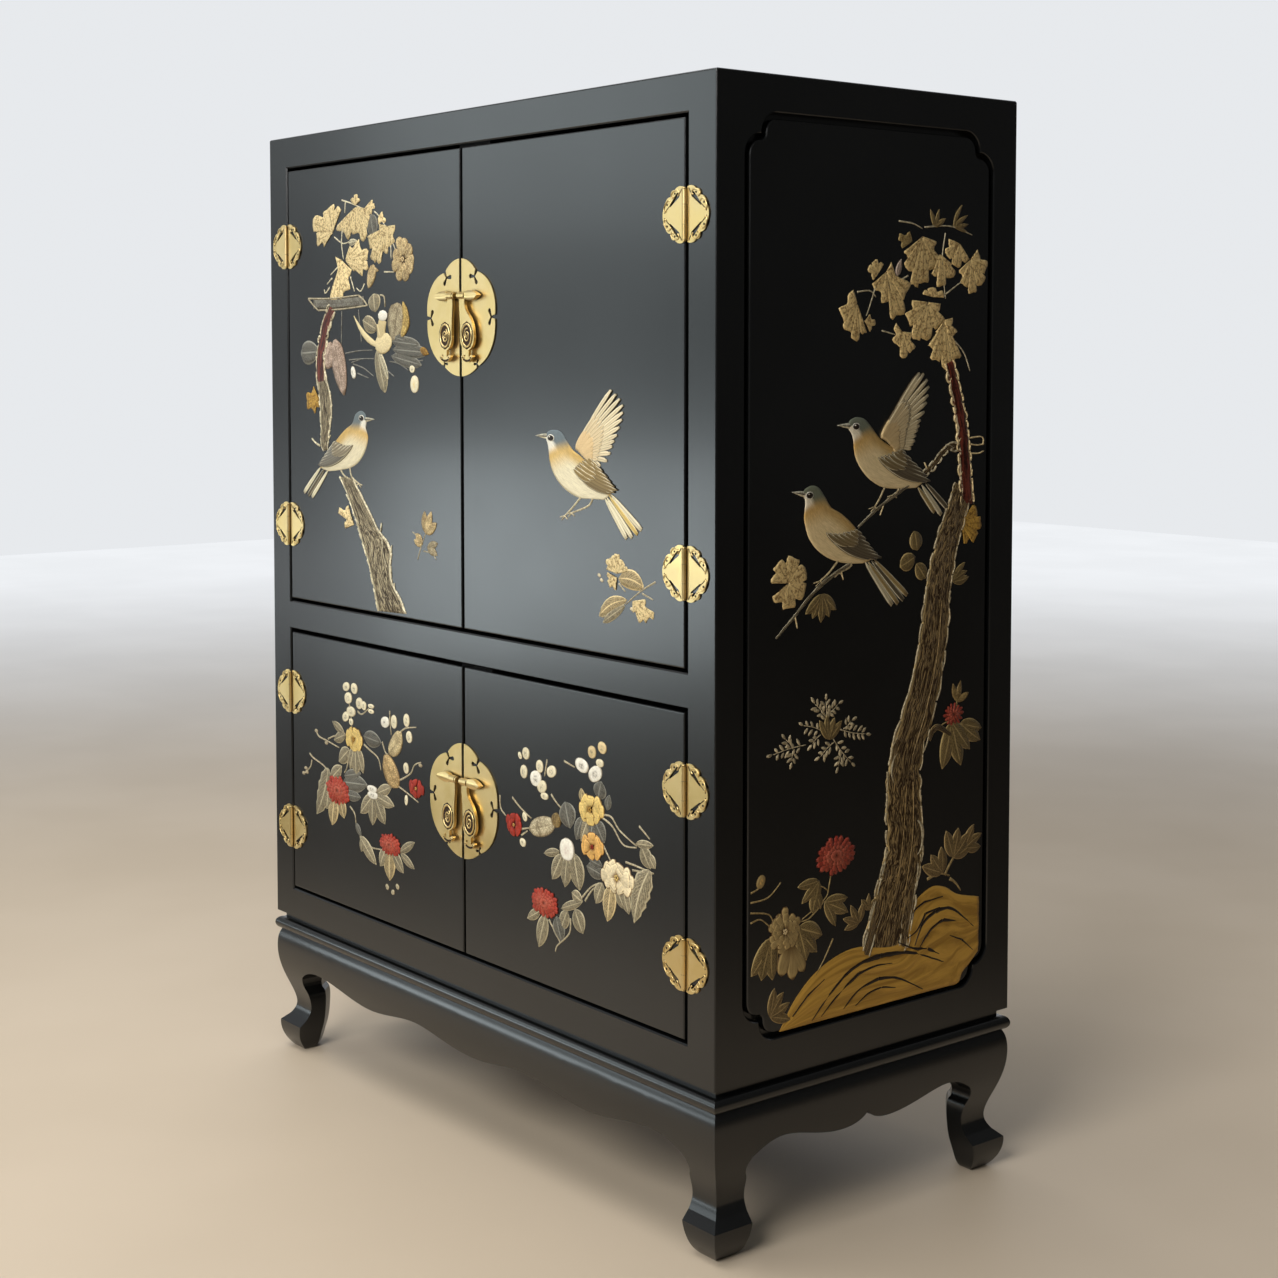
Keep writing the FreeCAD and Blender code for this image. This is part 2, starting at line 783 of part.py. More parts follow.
def mitre(half_long, half_short, place):
    """Mitred plan of one moulding length: outer corners past the torus, inner corners at its back edge."""
    out = 2 * moulding_overhang
    inn = moulding_width + 1.0
    corners = [(-half_long - out, -half_short - out), (half_long + out, -half_short - out),
               (half_long - inn, -half_short + inn), (-half_long + inn, -half_short + inn)]
    return polygon([place(a, b) for a, b in corners]).extrude(Vector(0, 0, stand_height))


def front_moulding():
    middle = (front_y + back_y) / 2
    section = moulding_face(lambda n, z: Vector(-case_width, front_y + n, z))
    bar = section.extrude(Vector(2 * case_width, 0, 0))
    return bar.common(mitre(side_x, case_depth / 2, lambda a, b: Vector(a, middle + b, 0)))


def right_moulding():
    middle = (front_y + back_y) / 2
    section = moulding_face(lambda n, z: Vector(side_x - n, -case_depth, z))
    bar = section.extrude(Vector(0, 2 * case_depth, 0))
    return bar.common(mitre(case_depth / 2, side_x, lambda a, b: Vector(-b, middle + a, 0)))


def pair(nodes, name, shape):
    """A piece on the right and its mirror image on the left."""
    nodes["right_" + name] = shape
    nodes["left_" + name] = [mirror_x(one) for one in shape] if isinstance(shape, list) else mirror_x(shape)


def case_nodes(nodes):
    pair(nodes, "front_post", front_post())
    pair(nodes, "back_post", back_post())
    pair(nodes, "side_rails", side_rails())
    pair(nodes, "side_panel", side_panel())
    nodes["top_rail"] = front_rail(up1_z, lid_z)
    nodes["middle_rail"] = front_rail(low1_z, up0_z)
    nodes["bottom_rail"] = front_rail(case_z, low0_z)
    nodes["top_board"] = top_board()
    nodes["middle_board"] = inside_board(frame_back_y, up0_z - floor_board_thickness, up0_z, 0)
    nodes["bottom_board"] = inside_board(frame_back_y, low0_z - floor_board_thickness, low0_z, 0)
    nodes["back_panel"] = back_panel()
    nodes["upper_shelf"] = shelf(up0_z, upper_shelf_rise)
    nodes["lower_shelf"] = shelf(low0_z, lower_shelf_rise)
    nodes["shelf_cleats"] = shelf_cleats()
    nodes["magnet_catches"] = [magnet_catch(up1_z), magnet_catch(low1_z)]


def stand_nodes(nodes):
    front = front_moulding()
    nodes["front_moulding"] = front
    nodes["back_moulding"] = mirror_y(front)
    pair(nodes, "moulding", right_moulding())
    apron = front_apron()
    nodes["front_apron"] = apron
    nodes["back_apron"] = mirror_y(apron)
    pair(nodes, "apron", right_apron())
    leg = right_front_leg()
    pair(nodes, "front_leg", leg)
    pair(nodes, "back_leg", mirror_y(leg))


def door_nodes(nodes):
    rows = (
        ("upper", up0_z, up1_z, upper_hinges, upper_plate_z),
        ("lower", low0_z, low1_z, lower_hinges, lower_plate_z),
    )
    leaves = []
    pins = []
    for row, z0, z1, hinges, plate_z in rows:
        leaves += [frame_leaf(z) for z in hinges]
        pins += [hinge_pin(z) for z in hinges]
        bar_z = plate_z + bar_rise
        pieces = {
            "door": right_door(z0, z1),
            "door_leaves": [door_leaf(z) for z in hinges],
            "face_plate": right_face_plate(plate_z),
            "pull_bar": right_pull_bar(bar_z),
            "drop": right_drop(bar_z),
            "strike": right_strike(z1),
        }
        for name, shape in pieces.items():
            both = {}
            pair(both, name, shape)
            for key, value in both.items():
                nodes[row + "_" + key] = value
    pair(nodes, "frame_leaves", leaves)
    nodes["hinge_pins"] = pins + [mirror_x(one) for one in pins]


def main():
    os.makedirs("parts", exist_ok=True)
    nodes = {}
    case_nodes(nodes)
    stand_nodes(nodes)
    door_nodes(nodes)
    for name, shape in nodes.items():
        whole = Part.makeCompound(shape) if isinstance(shape, list) else shape
        if not whole.isValid() or not whole.Solids:
            raise ValueError("bad solid: " + name)
        whole.exportStep("parts/" + name + ".step")
        print(name, len(whole.Solids), round(whole.Volume / 1000, 2))


if __name__ == "__main__":
    main()
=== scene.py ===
"""Looks of a black lacquered entryway cabinet: finishes, raised gilding, brass detail and a plain stage."""

import math
import random
from functools import partial, reduce

import bmesh
import bpy
from bpy.props import FloatProperty, FloatVectorProperty, PointerProperty
from bpy.types import Operator, Panel, PropertyGroup
from mathutils import Matrix, Vector


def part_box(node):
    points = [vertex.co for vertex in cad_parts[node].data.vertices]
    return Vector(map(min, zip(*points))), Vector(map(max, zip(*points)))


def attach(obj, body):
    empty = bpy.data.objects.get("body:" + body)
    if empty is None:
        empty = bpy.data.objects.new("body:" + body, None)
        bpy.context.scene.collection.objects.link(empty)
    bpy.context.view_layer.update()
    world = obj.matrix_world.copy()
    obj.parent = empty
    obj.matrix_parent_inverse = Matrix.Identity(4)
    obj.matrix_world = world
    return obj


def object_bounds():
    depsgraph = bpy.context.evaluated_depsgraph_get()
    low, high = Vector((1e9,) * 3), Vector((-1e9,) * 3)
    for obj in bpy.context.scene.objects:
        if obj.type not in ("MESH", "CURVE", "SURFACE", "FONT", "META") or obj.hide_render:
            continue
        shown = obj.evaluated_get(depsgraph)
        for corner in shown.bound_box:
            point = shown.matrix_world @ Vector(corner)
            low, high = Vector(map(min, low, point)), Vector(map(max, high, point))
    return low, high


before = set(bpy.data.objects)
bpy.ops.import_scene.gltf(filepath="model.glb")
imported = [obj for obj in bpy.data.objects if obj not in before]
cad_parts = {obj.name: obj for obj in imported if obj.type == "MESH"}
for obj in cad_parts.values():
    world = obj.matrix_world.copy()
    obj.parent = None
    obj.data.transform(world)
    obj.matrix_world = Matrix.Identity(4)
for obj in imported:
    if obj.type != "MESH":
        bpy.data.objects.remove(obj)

bl_info = {
    "name": "Lacquered cabinet",
    "version": (1, 0, 0),
    "blender": (4, 5, 0),
    "location": "View3D > Sidebar > Cabinet",
    "description": "Finishes, raised gilding and brass detail for a lacquered four-door cabinet",
    "category": "Object",
}

cad_low, cad_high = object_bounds()
MM = 0.001
ROWS = ("upper", "lower")
HANDS = {"right": 1, "left": -1}
CORNERS = [f"{row}_{side}" for row in ROWS for side in HANDS]
DOOR_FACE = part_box("upper_right_door")[0].y / MM
PANEL_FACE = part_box("right_side_panel")[1].x / MM


def colour(label, note, value):
    return FloatVectorProperty(
        name=label, description=note, subtype="COLOR", size=3, min=0, max=1, default=value)


def length(label, note, value):
    return FloatProperty(
        name=label, description=note, subtype="DISTANCE", unit="LENGTH", min=0, default=value)


def share(label, note, value):
    return FloatProperty(name=label, description=note, subtype="FACTOR", min=0, max=1, default=value)


class LacquerSettings(PropertyGroup):
    black: colour("Black", "Colour of the outside lacquer", (0.0030, 0.0032, 0.0032))
    inside: colour("Inside", "Colour of the lacquer inside the case", (0.020, 0.012, 0.008))
    gloss: share("Roughness", "Roughness of the outside lacquer", 0.24)


class BrassSettings(PropertyGroup):
    brass: colour("Brass", "Colour of the polished brass", (0.74, 0.54, 0.215))
    patina: colour("Patina", "Colour of the brass in hollows", (0.060, 0.028, 0.009))
    steel: colour("Steel", "Colour of the strike plates", (0.42, 0.42, 0.41))
    relief: length("Scroll height", "How far the scrolls on the pulls and hinges stand proud", 0.0012)


class StageSettings(PropertyGroup):
    floor: colour("Floor", "Colour of the floor", (0.573, 0.468, 0.345))
    pale: colour("Pale backdrop", "Light from behind the cabinet", (0.80, 0.82, 0.845))
    dim: colour("Dim backdrop", "Light from the dim side of the room", (0.06, 0.06, 0.058))


class PaintSettings(PropertyGroup):
    gold: colour("Gold", "Grained gilding of leaves and blossom", (0.74, 0.58, 0.31))
    ochre: colour("Ochre", "Gilding of the rocks", (0.50, 0.29, 0.055))
    beige: colour("Beige", "Veins and outlines of leaves", (0.50, 0.43, 0.28))
    grey: colour("Grey", "Far leaves and twigs", (0.25, 0.24, 0.20))
    cream: colour("Cream", "Buds and pale feathers", (0.80, 0.72, 0.50))
    white: colour("White", "White buds and the birds' throats", (0.84, 0.80, 0.68))
    yellow: colour("Yellow", "Yellow blossom", (0.70, 0.51, 0.17))
    orange: colour("Orange", "Orange blossom and the birds' breasts", (0.66, 0.38, 0.11))
    red: colour("Red", "Red blossom", (0.34, 0.032, 0.018))
    mauve: colour("Mauve", "Hanging leaf by the trunk", (0.60, 0.46, 0.37))
    slate: colour("Slate", "Crowns of the birds", (0.15, 0.185, 0.20))
    umber: colour("Umber", "Wings of the birds", (0.11, 0.085, 0.05))
    olive: colour("Olive", "Backs of the birds", (0.33, 0.235, 0.095))
    bark: colour("Bark", "Gold on the bark", (0.30, 0.205, 0.085))
    maroon: colour("Maroon", "Red-brown upper trunks", (0.085, 0.018, 0.010))
    ink: colour("Ink", "Dark brush strokes", (0.022, 0.014, 0.008))
    relief: length("Relief", "Height of the raised decoration", 0.0010)


def scaled(shade, k):
    return tuple(k * c for c in shade)


def blend(a, b, k):
    return tuple(x + (y - x) * k for x, y in zip(a, b))


class Nodes:
    """A node tree, built in short steps."""

    def __init__(self, tree):
        self.tree = tree

    def first(self, kind):
        """The node of one kind that the tree came with."""
        return next(node for node in self.tree.nodes if node.type == kind)

    def put(self, socket, value):
        if isinstance(value, bpy.types.NodeSocket):
            self.tree.links.new(value, socket)
        elif socket.type == "RGBA":
            socket.default_value = (*value[:3], 1.0)
        else:
            socket.default_value = value

    def node(self, kind, inputs=None, **settings):
        made = self.tree.nodes.new(kind)
        for key, value in settings.items():
            setattr(made, key, value)
        for label, value in (inputs or {}).items():
            self.put(made.inputs[label], value)
        return made

    def math(self, operation, a, b=0.0, c=0.0):
        made = self.node("ShaderNodeMath", operation=operation)
        for socket, value in zip(made.inputs, (a, b, c)):
            self.put(socket, value)
        return made.outputs[0]

    def product(self, *values):
        return reduce(partial(self.math, "MULTIPLY"), values)

    def greatest(self, *values):
        return reduce(partial(self.math, "MAXIMUM"), values)

    def ease(self, value, low, high, start=0.0, end=1.0):
        """Smooth step from start to end as a value goes from low to high."""
        made = self.node("ShaderNodeMapRange", interpolation_type="SMOOTHSTEP", inputs={
            "Value": value, "From Min": low, "From Max": high, "To Min": start, "To Max": end})
        return made.outputs[0]

    def zigzag(self, value):
        """1 at whole numbers, 0 half way between."""
        return self.math("ABSOLUTE", self.math("MULTIPLY_ADD", self.math("FRACT", value), 2.0, -1.0))

    def mix(self, factor, a, b, blending="MIX"):
        made = self.node("ShaderNodeMix", data_type="RGBA", blend_type=blending)
        for index, value in ((0, factor), (6, a), (7, b)):
            self.put(made.inputs[index], value)
        return made.outputs[2]

    def toward(self, where, way):
        """How far a place lies along a direction."""
        made = self.node("ShaderNodeVectorMath", {0: where, 1: way}, operation="DOT_PRODUCT")
        return made.outputs["Value"]


class Finish(Nodes):
    """A finish built from nodes on one Principled shader."""

    def __init__(self, name, sockets):
        self.material = bpy.data.materials.new(name)
        self.material.use_nodes = True
        super().__init__(self.material.node_tree)
        self.shader = self.first("BSDF_PRINCIPLED")
        for label, value in sockets.items():
            self.give(label, value)

    def give(self, label, value):
        self.put(self.shader.inputs[label], value)

    def rough(self, value, smooth, coarse, low=0.3, high=0.7):
        """Roughness from smooth to coarse as a value goes from low to high."""
        self.give("Roughness", self.ease(value, low, high, smooth, coarse))

    def bump(self, height, distance, strength):
        made = self.node("ShaderNodeBump", {"Strength": strength, "Distance": distance, "Height": height})
        self.give("Normal", made.outputs[0])

    def stretched(self, where, stretch):
        return self.node("ShaderNodeMapping", {"Vector": where, "Scale": stretch}).outputs[0]

    def place(self, stretch=(1.0, 1.0, 1.0)):
        """Object coordinates in metres, stretched."""
        return self.stretched(self.node("ShaderNodeTexCoord").outputs["Object"], stretch)

    def drawing(self, stretch=(1.0, 1.0, 1.0)):
        """The piece's own drawing map, stretched."""
        return self.stretched(self.node("ShaderNodeUVMap", uv_map="drawing").outputs[0], stretch)

    def drawn(self):
        return self.node("ShaderNodeSeparateXYZ", {"Vector": self.drawing()}).outputs

    def edge(self):
        """0 along the middle of a leaf, a lobe or a stem, 1 at its border."""
        return self.zigzag(self.drawn()[0])

    def along(self):
        """Share of the way from the base of a leaf to its tip."""
        return self.drawn()[1]

    def slanted(self, edge, along, slant, count):
        """Lines from the rib out towards the tip: 1 on each, 0 half way to the next."""
        return self.zigzag(self.product(self.math("MULTIPLY_ADD", edge, -slant, along), count))

    def tint(self, name="tint"):
        """A colour that the piece carries."""
        return self.node("ShaderNodeAttribute", attribute_name=name).outputs["Color"]

    def times(self, tint, tone):
        return self.mix(1.0, tint, tone, "MULTIPLY")

    def tones(self, factor, tint, dark, light):
        """A colour times a dark or a light tone, by a factor."""
        return self.mix(factor, self.times(tint, dark), self.times(tint, light))

    def noise(self, scale, detail=3.0, roughness=0.55, distortion=0.0, where=None):
        """Noise over the object, or over another place."""
        return self.node("ShaderNodeTexNoise", {
            "Vector": self.place() if where is None else where, "Scale": scale, "Detail": detail,
            "Roughness": roughness, "Distortion": distortion}).outputs[0]

    def cells(self, scale):
        made = self.node("ShaderNodeTexVoronoi", {"Vector": self.place(), "Scale": scale})
        return made.outputs["Distance"]


def black_lacquer(settings):
    """Rubbed black lacquer: deep, even, with a soft broad shine."""
    f = Finish("black_lacquer", {"Coat Weight": 0.15, "Coat Roughness": 0.12, "Specular IOR Level": 0.5})
    cloud = f.noise(2.6, 4.0)
    f.give("Base Color", f.mix(f.ease(cloud, 0.35, 0.75), settings.black, scaled(settings.black, 1.7)))
    f.rough(cloud, settings.gloss - 0.02, settings.gloss + 0.02)
    f.bump(f.noise(30.0, 1.0), 0.00002, 0.15)
    return f.material


def inside_lacquer(settings):
    """Thin brown-black lacquer over wood, with the grain just showing."""
    f = Finish("inside_lacquer", {"Specular IOR Level": 0.4})
    grain = f.noise(3.0, 6.0, 0.6, 0.6, f.place((3.0, 60.0, 60.0)))
    f.give("Base Color", f.mix(f.ease(grain, 0.35, 0.7), settings.inside, scaled(settings.inside, 2.2)))
    f.rough(grain, 0.42, 0.56)
    f.bump(grain, 0.00008, 0.4)
    return f.material


def polished_brass(settings, name="brass"):
    """Warm polished brass, darkened towards its patina in hollows and close under other parts: partly
    patina, partly painted shade.
    """
    f = Finish(name, {"Metallic": 1.0, "Coat Weight": 0.15, "Coat Roughness": 0.2})
    # Patina and painted shade: occlusion darkens the brass towards the patina colour near other surfaces
    near = f.node("ShaderNodeAmbientOcclusion", {"Distance": 0.005}, samples=6).outputs["AO"]
    cloud = f.noise(24.0, 4.0)
    rub = f.noise(260.0, where=f.place((1.0, 1.0, 9.0)))
    warm = tuple(min(1.0, c * k) for c, k in zip(settings.brass, (1.06, 1.10, 1.30)))
    face = f.mix(f.ease(cloud, 0.3, 0.7), settings.brass, warm)
    f.give("Base Color", f.mix(f.ease(near, 0.35, 0.85), settings.patina, face))
    f.give("Roughness", f.math("ADD", f.ease(cloud, 0.25, 0.75, 0.27, 0.36), f.product(rub, 0.08)))
    f.bump(f.math("ADD", rub, f.noise(45.0, 2.0)), 0.00003, 0.4)
    return f.material


def brushed_steel(settings):
    f = Finish("steel", {"Metallic": 1.0})
    hair = f.noise(90.0, 4.0, where=f.place((1.0, 1.0, 40.0)))
    f.give("Base Color", f.mix(f.ease(hair, 0.3, 0.7), scaled(settings.steel, 0.7), settings.steel))
    f.rough(hair, 0.28, 0.42)
    f.bump(hair, 0.00003, 0.5)
    return f.material


DARK_PLASTIC = (0.030, 0.018, 0.012)
PALE_PLASTIC = (0.048, 0.030, 0.020)


def moulded_plastic():
    f = Finish("catch_plastic", {})
    grain = f.cells(900.0)
    f.give("Base Color", f.mix(f.ease(grain, 0.2, 0.8), DARK_PLASTIC, PALE_PLASTIC))
    f.rough(grain, 0.42, 0.55, 0.2, 0.8)
    f.bump(grain, 0.00006, 0.5)
    return f.material


def wear(names, material):
    """Gives CAD nodes their finish."""
    for name in names:
        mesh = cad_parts[name].data
        mesh.materials.clear()
        mesh.materials.append(material)


class CABINET_OT_lacquer(Operator):
    """Give the case, doors and stand their lacquer"""
    bl_idname = "cabinet.lacquer"
    bl_label = "Lacquer the cabinet"

    def execute(self, context):
        settings = context.scene.cabinet_lacquer
        both = ("front_post", "back_post", "side_rails", "side_panel",
                "moulding", "apron", "front_leg", "back_leg")
        outside = [f"{side}_{name}" for side in HANDS for name in both]
        outside += [f"{corner}_door" for corner in CORNERS]
        outside += ["top_rail", "middle_rail", "bottom_rail", "top_board", "back_panel"]
        outside += [f"{end}_{name}" for end in ("front", "back") for name in ("moulding", "apron")]
        inside = ["middle_board", "bottom_board", "upper_shelf", "lower_shelf", "shelf_cleats"]
        wear(outside, black_lacquer(settings))
        wear(inside, inside_lacquer(settings))
        return {"FINISHED"}


class CABINET_OT_brass(Operator):
    """Give the hinges, plates, bars and pulls their brass, and the catches steel and plastic"""
    bl_idname = "cabinet.brass"
    bl_label = "Polish the hardware"

    def execute(self, context):
        settings = context.scene.cabinet_brass
        fittings = ("door_leaves", "face_plate", "pull_bar", "drop")
        brass = [f"{side}_frame_leaves" for side in HANDS] + ["hinge_pins"]
        brass += [f"{corner}_{name}" for corner in CORNERS for name in fittings]
        wear(brass, polished_brass(settings))
        wear([f"{corner}_strike" for corner in CORNERS], brushed_steel(settings))
        wear(["magnet_catches"], moulded_plastic())
        return {"FINISHED"}


def make(name, bm, materials):
    """Turns a finished mesh into an object of the scene."""
    mesh = bpy.data.meshes.new(name)
    bm.to_mesh(mesh)
    bm.free()
    for material in materials:
        mesh.materials.append(material)
    made = bpy.data.objects.new(name, mesh)
    bpy.context.scene.collection.objects.link(made)
    return made


def hang(name, data, spot, way):
    """Puts a lamp or a camera in its place, facing one way."""
    held = bpy.data.objects.new(name, data)
    held.location = spot
    held.rotation_mode = "QUATERNION"
    held.rotation_quaternion = Vector(way).to_track_quat("-Z", "Y")
    bpy.context.scene.collection.objects.link(held)
    return held


# Level direction from the camera past the cabinet
AWAY = (-0.78, 0.62, 0.0)
# Level directions out past each side of the picture, and how far along them painted shade on the floor
# starts
SHADED_SIDES = (((-0.370, -0.929, 0.0), 0.872), ((0.826, 0.563, 0.0), 0.955))
# How far the painted shade on the floor takes to deepen, and the share of the floor colour it leaves
SHADE_REACH = 0.8
SHADE_TONE = 0.25
FLOOR_REACH = 9.0
FLOOR_CELLS = 24
# Distances over which the floor gives way to the backdrop, from the middle and from the camera's side
FADE_FAR = (1.2, 8.5)
FADE_BEHIND = (-0.5, 4.0)
FADE_GLOW = 0.96
BACKDROP_EASE = (0.15, 0.85)
WINDOW_LIGHT = (0.86, 0.97, 1.0)
# Name, place, aim, width and height, and power of each lamp
LAMPS = (
    ("key_lamp", (1.6, -3.9, 3.0), (0.1, -0.1, 0.8), (2.4, 2.0), 178.0),
    ("top_lamp", (-0.6, -0.9, 4.2), (0.0, 0.0, 0.0), (3.0, 2.4), 110.0),
    ("window_low", (-3.38, -3.16, 0.42), (0.0, -0.27, 0.7), (1.6, 0.75), 16.8),
    ("window_middle", (-3.45, -3.26, 1.17), (0.0, -0.27, 1.0), (1.7, 0.7), 3.0),
    ("window_high", (-3.55, -3.39, 2.4), (0.0, -0.27, 1.3), (2.0, 1.7), 25.0),
)
CAMERA_SPOT = (2.4651, -1.92025, 1.1336)
CAMERA_WAY = (-0.7788, 0.6245, -0.0590)
CAMERA_LENS = 58.86
CAMERA_SENSOR = 36.0
CAMERA_SHIFT = -0.1253


class CABINET_OT_stage(Operator):
    """Set the floor, the lamps, the backdrop and the camera"""
    bl_idname = "cabinet.stage"
    bl_label = "Set the stage"

    def execute(self, context):
        settings = context.scene.cabinet_stage
        self.lay_floor(settings)
        self.light_room(context.scene, settings)
        self.hang_lamps()
        self.aim_camera(context.scene)
        context.scene.view_settings.view_transform = "Standard"
        return {"FINISHED"}

    def lay_floor(self, settings):
        """Pale floor with painted shade past both sides of the picture, running out into the backdrop
        behind.
        """
        f = Finish("pale_floor", {"Specular IOR Level": 0.25})
        where = f.place()
        far = f.node("ShaderNodeVectorMath", {0: where}, operation="LENGTH").outputs["Value"]
        aside = [f.math("SUBTRACT", f.toward(where, way), start) for way, start in SHADED_SIDES]
        cloud = f.noise(1.3)
        near = f.mix(f.ease(cloud, 0.3, 0.7), settings.floor, scaled(settings.floor, 0.94))
        # Painted shade: the floor's colour darkens towards SHADE_TONE past the sides of the picture
        shade = f.ease(f.greatest(*aside), 0.0, SHADE_REACH)
        near = f.mix(shade, near, scaled(settings.floor, SHADE_TONE))
        fade = f.product(f.ease(far, *FADE_FAR), f.ease(f.toward(where, AWAY), *FADE_BEHIND))
        f.give("Base Color", f.mix(fade, near, (0.0, 0.0, 0.0)))
        f.give("Emission Color", settings.pale)
        f.give("Emission Strength", f.product(fade, FADE_GLOW))
        f.rough(cloud, 0.5, 0.6)
        bm = bmesh.new()
        bmesh.ops.create_grid(bm, x_segments=FLOOR_CELLS, y_segments=FLOOR_CELLS, size=FLOOR_REACH)
        floor = make("floor", bm, [f.material])

    def light_room(self, scene, settings):
        """Pale light from behind the cabinet and dim light from the rest of the room."""
        world = bpy.data.worlds.new("studio")
        scene.world = world
        world.use_nodes = True
        sky = Nodes(world.node_tree)
        way = sky.node("ShaderNodeTexCoord").outputs["Generated"]
        behind = sky.ease(sky.toward(way, AWAY), *BACKDROP_EASE)
        sky.put(sky.first("BACKGROUND").inputs["Color"], sky.mix(behind, settings.dim, settings.pale))

    def hang_lamps(self):
        for name, spot, aim, size, power in LAMPS:
            lamp = bpy.data.lights.new(name, "AREA")
            lamp.shape = "RECTANGLE"
            lamp.size, lamp.size_y = size
            lamp.energy = power
            if name.startswith("window"):
                lamp.color = WINDOW_LIGHT
            hang(name, lamp, spot, Vector(aim) - Vector(spot))

    def aim_camera(self, scene):
        lens = bpy.data.cameras.new("camera")
        lens.lens = CAMERA_LENS
        lens.sensor_width = CAMERA_SENSOR
        lens.shift_y = CAMERA_SHIFT
        scene.camera = hang("camera", lens, CAMERA_SPOT, CAMERA_WAY)


def grained_gilding():
    """Gold dust over lacquer, coarse like sand, darker between the grains."""
    f = Finish("grained_gilding", {"Metallic": 0.12, "Specular IOR Level": 0.2})
    edge = f.edge()
    speck = f.noise(520.0)
    grain = f.product(f.ease(f.cells(420.0), 0.62, 0.18), f.ease(speck, 0.30, 0.58), 0.62)
    patch = f.ease(f.noise(95.0, 2.0), 0.35, 0.65, 0.18, 0.46)
    rib = f.product(f.ease(edge, 0.0, 0.14, 0.55, 1.0), f.ease(edge, 0.99, 0.86, 0.35, 1.0))
    light = f.product(f.math("ADD", grain, patch), rib)
    f.give("Base Color", f.tones(light, f.tint(), (0.20, 0.15, 0.10), (1.22, 1.2, 1.14)))
    f.rough(speck, 0.36, 0.55)
    f.bump(light, 0.0006, 0.55)
    return f.material


def lobed_leaf():
    """Pale gold leaf, finely pitted, with a thin dark rib in each lobe and a paler rim."""
    f = Finish("lobed_leaf", {"Metallic": 0.12, "Specular IOR Level": 0.2})
    edge, along = f.edge(), f.along()
    speck = f.noise(330.0)
    pits = f.ease(speck, 0.50, 0.62, 1.0, 0.22)
    vein = f.ease(f.slanted(edge, along, 0.25, 5.0), 0.84, 0.97, 1.0, 0.6)
    rib = f.ease(edge, 0.0, 0.08, 0.4, 1.0)
    rim = f.product(f.ease(along, 0.84, 0.93), f.ease(speck, 0.62, 0.5, 0.5, 1.0))
    light = f.greatest(f.product(pits, vein, rib), rim)
    f.give("Base Color", f.tones(light, f.tint(), (0.30, 0.22, 0.13), (1.16, 1.16, 1.10)))
    f.rough(speck, 0.36, 0.55)
    f.bump(light, 0.0006, 0.6)
    return f.material


def veined_leaf():
    """Taupe leaf with fine pale veins and a thin pale outline."""
    f = Finish("veined_leaf", {"Specular IOR Level": 0.2})
    edge, along, tint = f.edge(), f.along(), f.tint()
    vein = f.ease(f.slanted(edge, along, 0.34, 11.0), 0.70, 0.96, 0.0, 0.62)
    rib = f.ease(edge, 0.11, 0.04)
    border = f.ease(edge, 0.80, 0.90)
    ends = f.ease(along, 0.93, 0.98)
    speck = f.noise(420.0)
    line = f.product(f.greatest(vein, rib, border, ends), f.ease(speck, 0.25, 0.55, 0.55, 1.0))
    ground = f.tones(f.ease(speck, 0.35, 0.65), tint, (0.24, 0.23, 0.21), (0.54, 0.52, 0.48))
    f.give("Base Color", f.mix(line, ground, f.times(tint, (1.12, 1.12, 1.08))))
    f.rough(speck, 0.34, 0.5)
    f.bump(line, 0.0005, 0.6)
    return f.material


def painted_petal():
    """Petal with fine streaks, a lighter lip and a dark line where it meets the next."""
    f = Finish("painted_petal", {"Specular IOR Level": 0.18})
    edge, along, tint = f.edge(), f.along(), f.tint()
    streak = f.noise(1.0, where=f.drawing((16.0, 1.6, 1.0)))
    speck = f.noise(300.0)
    deep = f.product(f.ease(along, 0.02, 0.60, 0.10, 1.0), f.ease(streak, 0.3, 0.6, 0.55, 1.0))
    lip = f.greatest(f.ease(edge, 0.55, 0.85), f.ease(along, 0.72, 0.92))
    dark = f.greatest(f.ease(edge, 0.80, 0.96), f.ease(along, 0.91, 0.985))
    body = f.mix(deep, f.times(tint, (0.26, 0.17, 0.11)), tint)
    body = f.mix(f.product(lip, 0.55), body, f.times(tint, (1.35, 1.32, 1.25)))
    f.give("Base Color", f.mix(f.product(dark, 0.88), body, f.times(tint, (0.20, 0.12, 0.08))))
    f.rough(speck, 0.36, 0.5)
    f.bump(f.math("ADD", deep, f.product(speck, 0.4)), 0.0004, 0.5)
    return f.material


def pale_bud():
    """Pale bud with a small smear of colour and a thin dark outline."""
    f = Finish("pale_bud", {"Specular IOR Level": 0.18})
    edge, along, tint = f.edge(), f.along(), f.tint()
    speck = f.noise(300.0)
    smear = f.product(f.ease(along, 0.16, 0.36), f.ease(along, 0.80, 0.56), f.ease(edge, 0.55, 0.15))
    smear = f.product(smear, f.ease(speck, 0.44, 0.56), 0.85)
    rim = f.greatest(f.ease(along, 0.06, 0.01), f.ease(along, 0.94, 0.99), f.ease(edge, 0.84, 0.95))
    body = f.tones(f.ease(speck, 0.3, 0.7), tint, (0.84, 0.82, 0.78), (1.06, 1.06, 1.05))
    body = f.mix(smear, body, f.tint("lip"))
    f.give("Base Color", f.mix(f.product(rim, 0.7), body, f.times(tint, (0.26, 0.20, 0.13))))
    f.rough(speck, 0.38, 0.52)
    f.bump(speck, 0.0003, 0.4)
    return f.material


